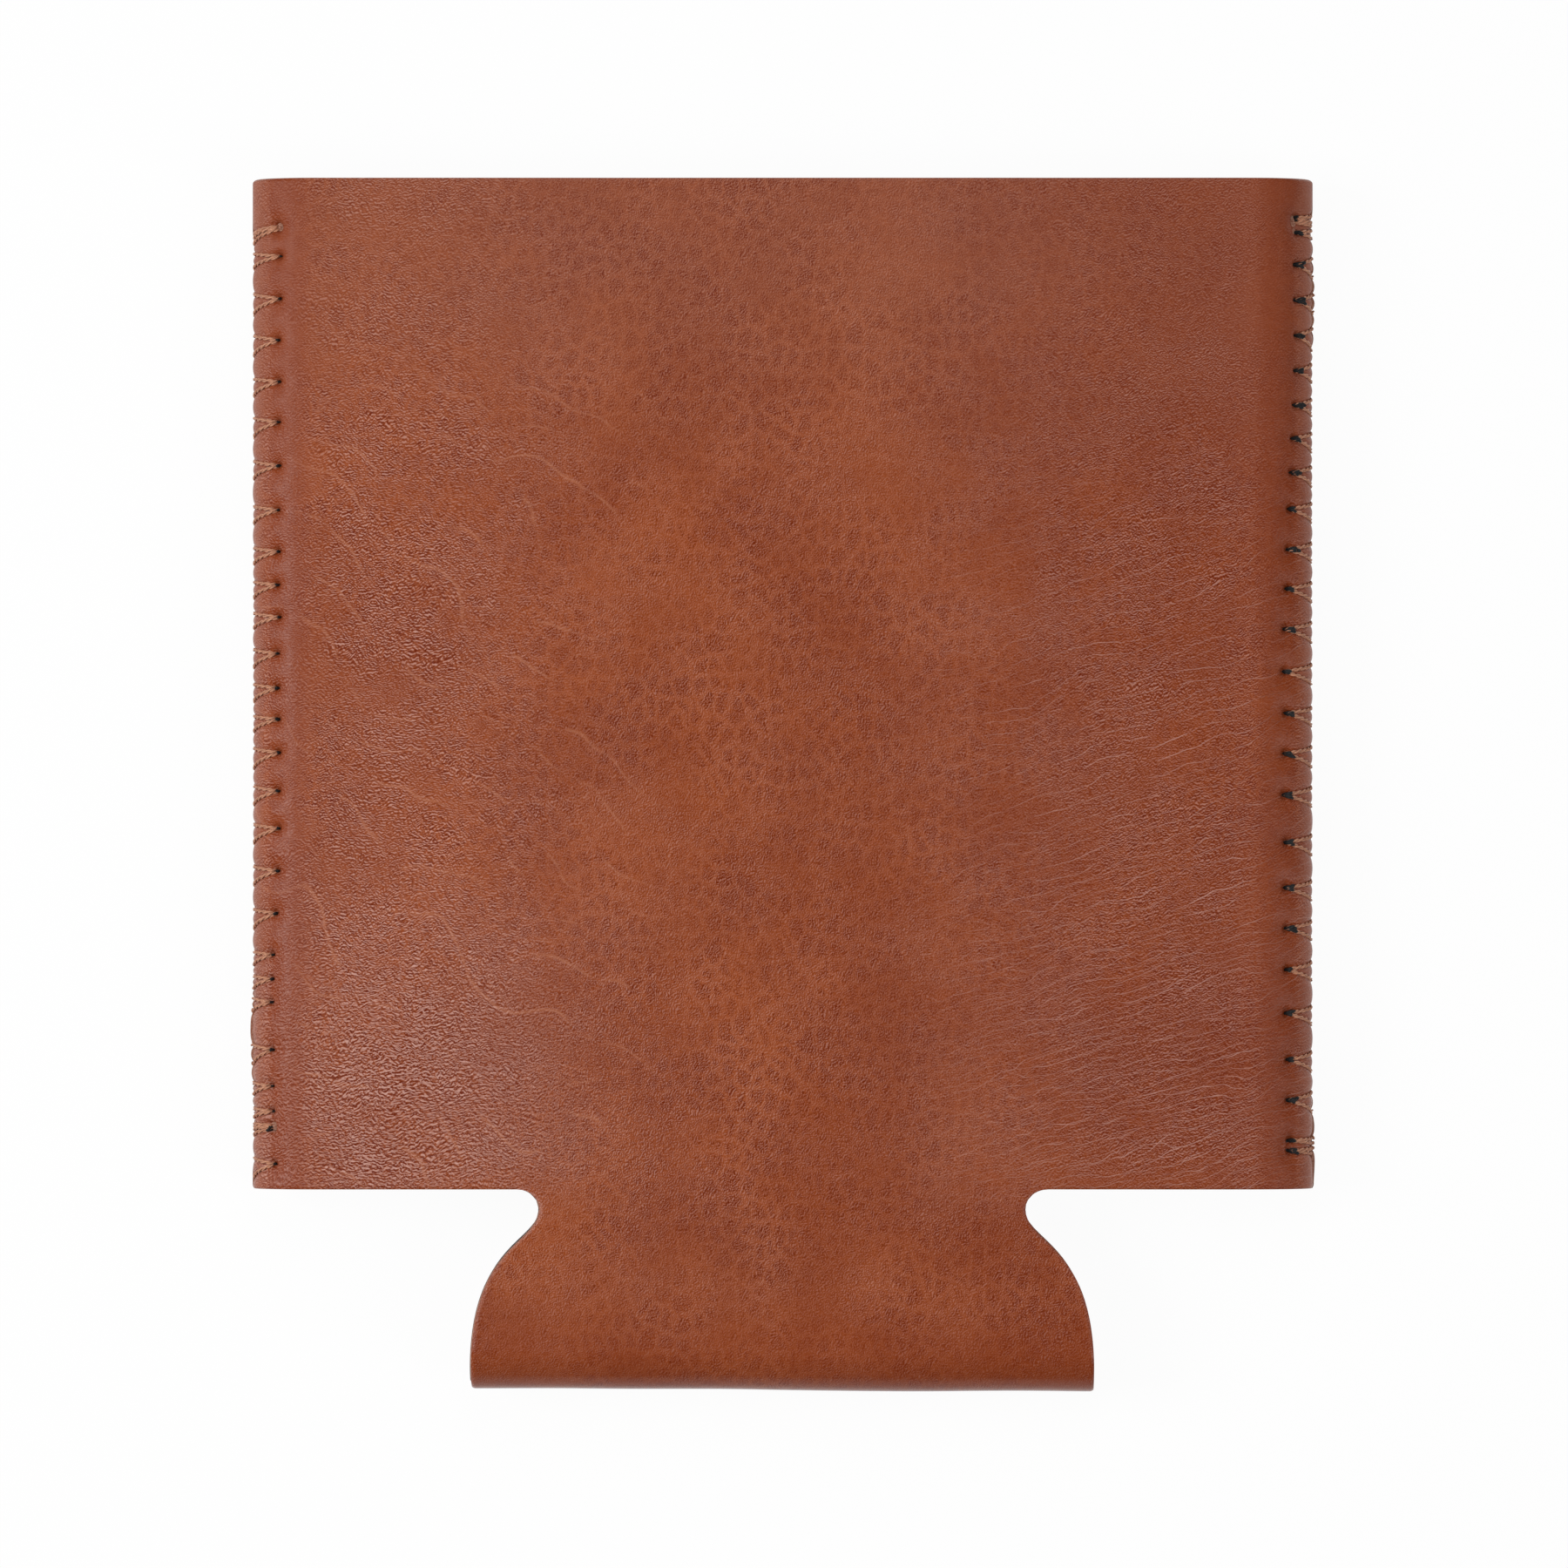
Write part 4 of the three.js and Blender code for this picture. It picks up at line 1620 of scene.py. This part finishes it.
@dataclass
class FoamSheet(Layer):
    """The foam bonded to the leather's inside, knit-faced towards the can."""

    step: float = 1.5 * MM
    side_step: float = 0.7 * MM
    tab_step: float = 0.6 * MM
    tab_columns: int = 61
    round_rows: int = 10
    tip: float = 0.02 * MM
    bond: float = 0.03 * MM
    tab_shift: float = -0.16 * MM
    rim_map: float = 3.0 * MM
    fill: float = 0.9

    def __post_init__(self) -> None:
        """Measure the foam's own section, inside the leather."""
        self.depth = self.form.leather + self.bond
        self.section = SeamSection(self.form, self.depth)

    def piece(self, half: Half, strip: Strip, side: Side | None, face: Array, out: Array, u: Array) -> Piece:
        """Build a piece of foam and hide the CAD node that it replaces.

        Args:
            half: Front or back.
            strip: Which part of the half.
            side: Its seam; none for the centre and the tab.
            face: Points of its outer face, with heights above the middle plane.
            out: The face's outward normals, likewise.
            u: Distances across the unfolded sheet.

        Returns:
            The piece.
        """
        (x, y, h), form = np.moveaxis(face, -1, 0), self.form
        outer, inner = (stack(x, y, form.middle_z + half.up * height) for height in (h, form.pocket_h))
        uv, normals = stack(u, half.up * form.sheet_y(y)), out * (1.0, 1.0, half.up)
        shell = Shell(outer, inner, uv, normals, 1, self.rim_map)
        materials = (self.finishes.foam, self.finishes.knit)
        obj = shell.build(f"{body_name(half, strip, side)}_foam", materials, 1, 0)
        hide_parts(node_name(half, "foam", strip, side))
        LOG.info("%s: %d faces", obj.name, len(obj.data.polygons))
        return obj

    def body_piece(self, half: Half, strip: Strip, side: Side | None, columns: Array) -> Piece:
        """Build a piece of the body's foam.

        Args:
            half: Front or back.
            strip: Which part of the half.
            side: Its seam; none for the centre.
            columns: Distances across the sheet from the middle line, negative on the left.

        Returns:
            The piece.
        """
        rows = stations(self.form.lower_y, self.form.mouth_y, self.step, True, True)[:, None]
        ways = np.where(columns < 0, -1.0, 1.0)
        x, h, nx, nh = self.section.at(np.abs(columns))
        face, out = stack(ways * x, rows, h), stack(ways * nx, rows * 0.0, nh)
        return self.piece(half, strip, side, face, out, columns)

    def build_half(self, half: Half) -> None:
        """Build all the foam of a half.

        Args:
            half: Front or back.
        """
        form = self.form
        s = stations(0.0, form.corner_x, self.step)
        centre = self.body_piece(half, Strip.CENTRE, None, np.concatenate([-s[:0:-1], s]))
        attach(centre, body_name(half, Strip.CENTRE))
        tip = self.section.reach(form.pocket_h + self.tip)
        inner = form.crease_columns(form.corner_x, form.crease_split, form.inner_bend, self.side_step)
        outer = form.crease_columns(form.crease_split, tip, form.outer_bend, self.side_step)
        for side in Side:
            for strip, columns in ((Strip.INNER, inner), (Strip.OUTER, outer)):
                self.bend(self.body_piece(half, strip, side, columns * side.way), half, side, strip)
        self.build_tab(half)

    def build_tab(self, half: Half) -> None:
        """Build the foam of one half of the tab, from the lower edge to the fold.

        Args:
            half: Front or back.
        """
        form = self.form
        radius = form.face_h - self.depth
        flat = stations(form.fold_centre_y, form.lower_y, self.tab_step, end_edge=True)[:0:-1]
        bend = np.linspace(0.0, math.acos((form.pocket_h + self.tip) / radius), self.round_rows)
        turn = np.concatenate([np.zeros(len(flat)), bend])[:, None]
        y = np.concatenate([flat, np.full(len(bend), form.fold_centre_y)])[:, None] - radius * np.sin(turn)
        x = form.neck_outline(y) * np.linspace(-1.0, 1.0, self.tab_columns) + self.tab_shift
        face, out = stack(x, y, radius * np.cos(turn)), stack(x * 0.0, -np.sin(turn), np.cos(turn))
        self.hang(self.piece(half, Strip.TAB, None, face, out, x), half)


@dataclass
class TwistedThread:
    """Collects runs of twisted thread into one mesh."""

    name: str
    radius: float
    plies: int = 2
    lay: float = 1.5 * MM
    step: float = 0.11 * MM
    sides: int = 6
    least_steps: int = 4
    ply_offset: float = 0.46
    ply_radius: float = 0.56
    ply_map_shift: float = 7.0 * MM
    upright: Span = (0.0, 0.13, 1.0)
    points: list[Array] = field(default_factory=list)
    faces: list[list[int]] = field(default_factory=list)
    maps: list[Array] = field(default_factory=list)

    def add(self, path: Array, phase: float = 0.0) -> None:
        """Twist the plies along a path.

        Args:
            path: Points of the thread's centre line.
            phase: Turn of the twist at the path's start.
        """
        lengths = np.concatenate([[0.0], np.cumsum(np.linalg.norm(np.diff(path, axis=0), axis=1))])
        steps = max(self.least_steps, math.ceil(lengths[-1] / self.step))
        at = np.linspace(0.0, lengths[-1], steps + 1)
        line = np.stack([np.interp(at, lengths, path[:, axis]) for axis in range(3)], axis=1)
        ahead = unit(np.gradient(line, axis=0))
        across = unit(np.cross(ahead, self.upright))[:, None]
        over = np.cross(across, ahead[:, None])
        ring = (np.arange(self.sides) * 2 * math.pi / self.sides)[None, :, None]
        spokes = np.cos(ring) * across + np.sin(ring) * over
        for ply in range(self.plies):
            turn = (2 * math.pi * (at / self.lay + ply / self.plies) + phase)[:, None, None]
            swing = np.cos(turn) * across + np.sin(turn) * over
            centre = line[:, None] + self.radius * self.ply_offset * swing
            self.tube(centre + spokes * self.radius * self.ply_radius, at + self.ply_map_shift * ply)

    def tube(self, rings: Array, at: Array) -> None:
        """Add one ply.

        Args:
            rings: Points of its rings.
            at: Distance of each ring along the thread, on the map.
        """
        total, sides = rings.shape[:2]
        base = sum(len(points) for points in self.points)
        grid = base + np.arange(total * sides).reshape(total, sides)
        self.points.append(rings.reshape(-1, 3))
        self.faces.extend(quads(np.column_stack([grid, grid[:, 0]])).tolist())
        self.faces.extend([grid[0, ::-1].tolist(), grid[-1].tolist()])
        around = np.arange(sides) / sides * 2 * math.pi * self.radius * self.ply_radius
        self.maps.append(stack(at[:, None], around).reshape(-1, 2))

    def build(self, material: Material, slot: str, body: str, node: str) -> None:
        """Make the thread's object and let it ride.

        Args:
            material: The thread's material.
            slot: The record's material slot; not used.
            body: Body that it rides on.
            node: CAD node that it replaces.
        """
        obj = mesh_object(self.name, np.concatenate(self.points), self.faces, [material])
        write_map(obj.data, np.concatenate(self.maps)[corner_points(obj.data)])
        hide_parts(node)
        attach(obj, body)
        LOG.info("%s: %d faces", obj.name, len(obj.data.polygons))


@dataclass
class SeamThreads:
    """Needle and bobbin threads of one side seam."""

    stitches: SeamStitches
    relief: LeatherRelief
    finishes: Finishes
    seed: int
    needle_radius: float = 0.2 * MM
    bobbin_radius: float = 0.11 * MM
    ride_height: float = 0.12 * MM
    dip: float = 0.75 * MM
    dip_width: float = 0.28 * MM
    leg_points: int = 40
    loop_points: int = 28
    loop_tail: float = 0.3
    loop_spread: float = 0.1
    loop_sink: float = -0.3 * MM
    loop_arch: float = 0.68 * MM
    loop_fullness: float = 0.6
    loop_leans: Span = (-0.3, 0.0, 0.3)
    loop_shares: Span = (0.6, 1.0)
    lean_strays: Span = (-0.12, 0.12)
    phases: Span = (0.0, 6.28)
    run_step: float = 0.3 * MM
    run_inset: float = 1.1 * MM

    def on_face(self, half: Half, s: Array, y: Array, lift: Array) -> Array:
        """Place points on the sewn face of the leather.

        Args:
            half: Front or back.
            s: Distances from the middle line along the face.
            y: Heights.
            lift: Heights above the leather.

        Returns:
            The points.
        """
        side = self.stitches.side
        x, h, nx, nh = self.relief.section.at(s)
        off = lift + self.relief.body(half, side, side.way * s, y)
        return stack(side.way * (x + nx * off), y, self.relief.form.middle_z + half.up * (h + nh * off))

    def leg(self, half: Half, stitch: Stitch, end_y: float) -> Array:
        """Path of one leg, up out of its needle hole and over the face to the seam's edge.

        Args:
            half: Front or back.
            stitch: The stitch.
            end_y: Height where the leg crosses the edge.

        Returns:
            Points of the path.
        """
        hole = self.stitches.hole_s(stitch)
        t = np.linspace(0.0, 1.0, self.leg_points)
        run = (self.relief.section.length - hole) * t
        lift = self.ride_height - self.dip * bell(run, self.dip_width)
        return self.on_face(half, hole + run, stitch.y + (end_y - stitch.y) * t, lift)

    def loop(self, stitch: Stitch, reach: float, drift: float) -> Array:
        """Path of a bobbin loop on the front, pulled up over the two legs and pointed at its needle hole.

        Args:
            stitch: The stitch.
            reach: How far it comes over the legs.
            drift: Lean of its end, as a share of its reach.

        Returns:
            Points of the path.
        """
        hole = self.stitches.hole_s(stitch)
        turn = np.linspace(0.0, math.pi, self.loop_points)
        arch = np.sin(turn)
        slope = (stitch.rise - stitch.fall) / 2 / (self.relief.section.length - hole)
        tail, spread = reach * self.loop_tail, reach * self.loop_spread
        out = (reach + tail) * arch - tail
        y = stitch.y + out * slope + spread * np.sin(2 * turn) + drift * reach * arch**2
        lift = self.loop_sink + self.loop_arch * arch**self.loop_fullness
        return self.on_face(Half.FRONT, hole + out, y, lift)

    def inner_run(self) -> Array:
        """Path of the bobbin thread between the halves, zigzag from hole to edge.

        Returns:
            Points of the path.
        """
        form, way, points = self.relief.form, self.stitches.side.way, []
        row = sorted(self.stitches.rows[Half.FRONT], key=lambda stitch: -stitch.y)
        for above, below in zip(row, row[1:]):
            points.append((way * (form.seam_x - above.inset), above.y, form.middle_z))
            points.append((way * (form.seam_x - self.run_inset), (above.y + below.y) / 2, form.middle_z))
        return np.array(points)

    def build(self) -> None:
        """Build both threads on both faces of the seam."""
        side = self.stitches.side
        rng = np.random.default_rng(self.seed)
        bodies = {half: body_name(half, Strip.OUTER, side) for half in Half}
        for half in Half:
            needle = TwistedThread(f"{side.value}_needle_thread_{half.value}", self.needle_radius)
            for stitch in self.stitches.rows[half]:
                for end_y in stitch.legs:
                    needle.add(self.leg(half, stitch, end_y), rng.uniform(*self.phases))
            needle.build(self.finishes.needle, "needle_thread", bodies[half], f"{side.value}_needle_thread")
        loops = TwistedThread(f"{side.value}_bobbin_loops", self.bobbin_radius)
        for stitch in filter(lambda stitch: stitch.loop, self.stitches.rows[Half.FRONT]):
            for lean in self.loop_leans:
                reach = stitch.loop * rng.uniform(*self.loop_shares)
                drift = lean + rng.uniform(*self.lean_strays)
                loops.add(self.loop(stitch, reach, drift), rng.uniform(*self.phases))
        run = TwistedThread(f"{side.value}_bobbin_thread_run", self.bobbin_radius, step=self.run_step)
        run.add(self.inner_run())
        for thread, half in ((loops, Half.FRONT), (run, Half.BACK)):
            thread.build(self.finishes.bobbin, "bobbin_thread", bodies[half], f"{side.value}_bobbin_thread")


@dataclass
class Studio:
    """White table, soft lamps and the camera straight above."""

    form: FoldedForm
    view_width: float = 155.5 * MM
    view_centre: tuple[float, float] = (0.13 * MM, 0.08 * MM)
    distance: float = 1.2
    sensor: float = 36.0
    clip: tuple[float, float] = (0.05, 50.0)
    table: float = 8.0
    table_gap: float = 0.4 * MM
    sky: float = 0.14
    # Name, place, length of the sides and watts of each lamp.
    lamps: Sequence[tuple[str, tuple[float, float, float], float, float]] = (
        ("near_left_lamp", (-0.125, -0.062, 0.32), 0.12, 0.15),
        ("near_right_lamp", (0.135, -0.070, 0.32), 0.08, 0.05),
        ("mouth_lamp", (0.02, 0.17, 0.34), 0.14, 0.12),
        ("left_lamp", (-0.55, 0.05, 0.46), 0.30, 2.7),
        ("right_lamp", (0.55, -0.24, 0.46), 0.30, 1.25),
        ("far_lamp", (0.02, 0.55, 0.50), 0.40, 0.7),
    )

    def build(self) -> None:
        """Set up the table, the lamps, the world and the camera."""
        scene = bpy.context.scene
        scene.view_settings.view_transform = "Standard"
        self.lay_table()
        for lamp in self.lamps:
            self.hang_lamp(*lamp)
        world = bpy.data.worlds.new("studio")
        world.use_nodes = True
        background = world.node_tree.nodes["Background"]
        background.inputs["Color"].default_value = (1.0, 1.0, 1.0, 1.0)
        background.inputs["Strength"].default_value = self.sky
        scene.world = world
        camera = bpy.data.cameras.new("camera")
        camera.sensor_width = self.sensor
        camera.lens = self.sensor * self.distance / self.view_width
        camera.clip_start, camera.clip_end = self.clip
        obj = bpy.data.objects.new("camera", camera)
        obj.location = (*self.view_centre, self.form.middle_z + self.distance)
        scene.collection.objects.link(obj)
        scene.camera = obj

    def lay_table(self) -> None:
        """Make the table's top, with its edge far outside the view."""
        reach = self.table / 2
        corners = [(x * reach, y * reach, -self.table_gap) for x, y in ((-1, -1), (1, -1), (1, 1), (-1, 1))]
        mesh = bpy.data.meshes.new("table")
        mesh.from_pydata(corners, [], [(0, 1, 2, 3)])
        mesh.materials.append(PaleFloor().make())
        obj = bpy.data.objects.new("table", mesh)
        bpy.context.scene.collection.objects.link(obj)

    @staticmethod
    def hang_lamp(name: str, place: tuple[float, float, float], size: float, power: float) -> None:
        """Hang a soft square lamp that looks at the cooler.

        Args:
            name: Name of the lamp.
            place: Where it hangs.
            size: Length of its sides.
            power: Watts.
        """
        data = bpy.data.lights.new(name, "AREA")
        data.size, data.energy = size, power
        obj = bpy.data.objects.new(name, data)
        obj.location = place
        obj.rotation_euler = (-Vector(place)).to_track_quat("-Z", "Y").to_euler()
        bpy.context.scene.collection.objects.link(obj)


# Gaps in millimetres from stitch to stitch, from the mouth down.
LEFT_GAPS = (
    2.8, 4.2, 4.1, 4.1, 4.0, 4.3, 4.4, 4.1, 3.3, 3.2, 3.6, 3.4, 3.1,
    3.3, 3.8, 3.7, 4.2, 4.2, 4.1, 2.4, 2.3, 4.7, 3.6, 2.5, 1.7, 3.5,
)
RIGHT_GAPS = (
    1.4, 3.2, 3.5, 3.5, 3.5, 3.4, 3.3, 3.4, 3.6, 4.0, 3.9, 4.0, 4.2,
    4.1, 4.0, 4.1, 4.7, 4.5, 4.0, 4.1, 4.3, 4.6, 4.0, 4.0, 1.0,
)
THREAD_SEEDS = {Side.LEFT: 11, Side.RIGHT: 12}


def sew(form: FoldedForm, section: SeamSection) -> dict[Side, SeamStitches]:
    """Lay out the stitches of both seams.

    Args:
        form: Sizes of the cooler.
        section: The leather's face across a half.

    Returns:
        The stitches of each seam.
    """
    left = SeamStitches(
        Side.LEFT, form, section, LEFT_GAPS,
        inset_places=(0.0, 0.7, 0.78, 0.93, 1.0),
        insets=(2.5, 2.3, 1.75, 1.7, 2.2),
        longer={0: 0.1 * MM, 1: 0.1 * MM, 25: 0.75 * MM},
        bent={0: (-0.43 * MM, 1.5 * MM)},
        extra=((0, 0.22 * MM, -0.75 * MM, 1.15 * MM), (25, 0.3 * MM, 0.1 * MM, 0.5 * MM)),
    )
    right = SeamStitches(
        Side.RIGHT, form, section, RIGHT_GAPS,
        inset_places=(0.0, 0.2, 0.45, 0.7, 1.0),
        insets=(1.4, 1.45, 2.7, 2.7, 2.1),
        first=3.9 * MM,
        rise=0.6 * MM,
        fall=1.25 * MM,
        loop=0.85 * MM,
        extra=((0, -0.4 * MM, 0.05 * MM, 0.35 * MM),),
        seed=6,
    )
    return {Side.LEFT: left, Side.RIGHT: right}


def main() -> None:
    """Build every piece of the cooler and the studio round it."""
    logging.basicConfig(level=logging.INFO, format="%(name)s %(message)s")
    form = FoldedForm.from_frame()
    section = SeamSection(form)
    seams = sew(form, section)
    relief = LeatherRelief(form, section, seams)
    finishes = Finishes()
    leather = LeatherSheet(form, finishes, relief)
    foam = FoamSheet(form, finishes)
    for half in Half:
        leather.build_half(half)
        foam.build_half(half)
    leather.build_tab()
    for side in Side:
        SeamThreads(seams[side], relief, finishes, THREAD_SEEDS[side]).build()
    Studio(form).build()


if __name__ == "__main__":
    main()
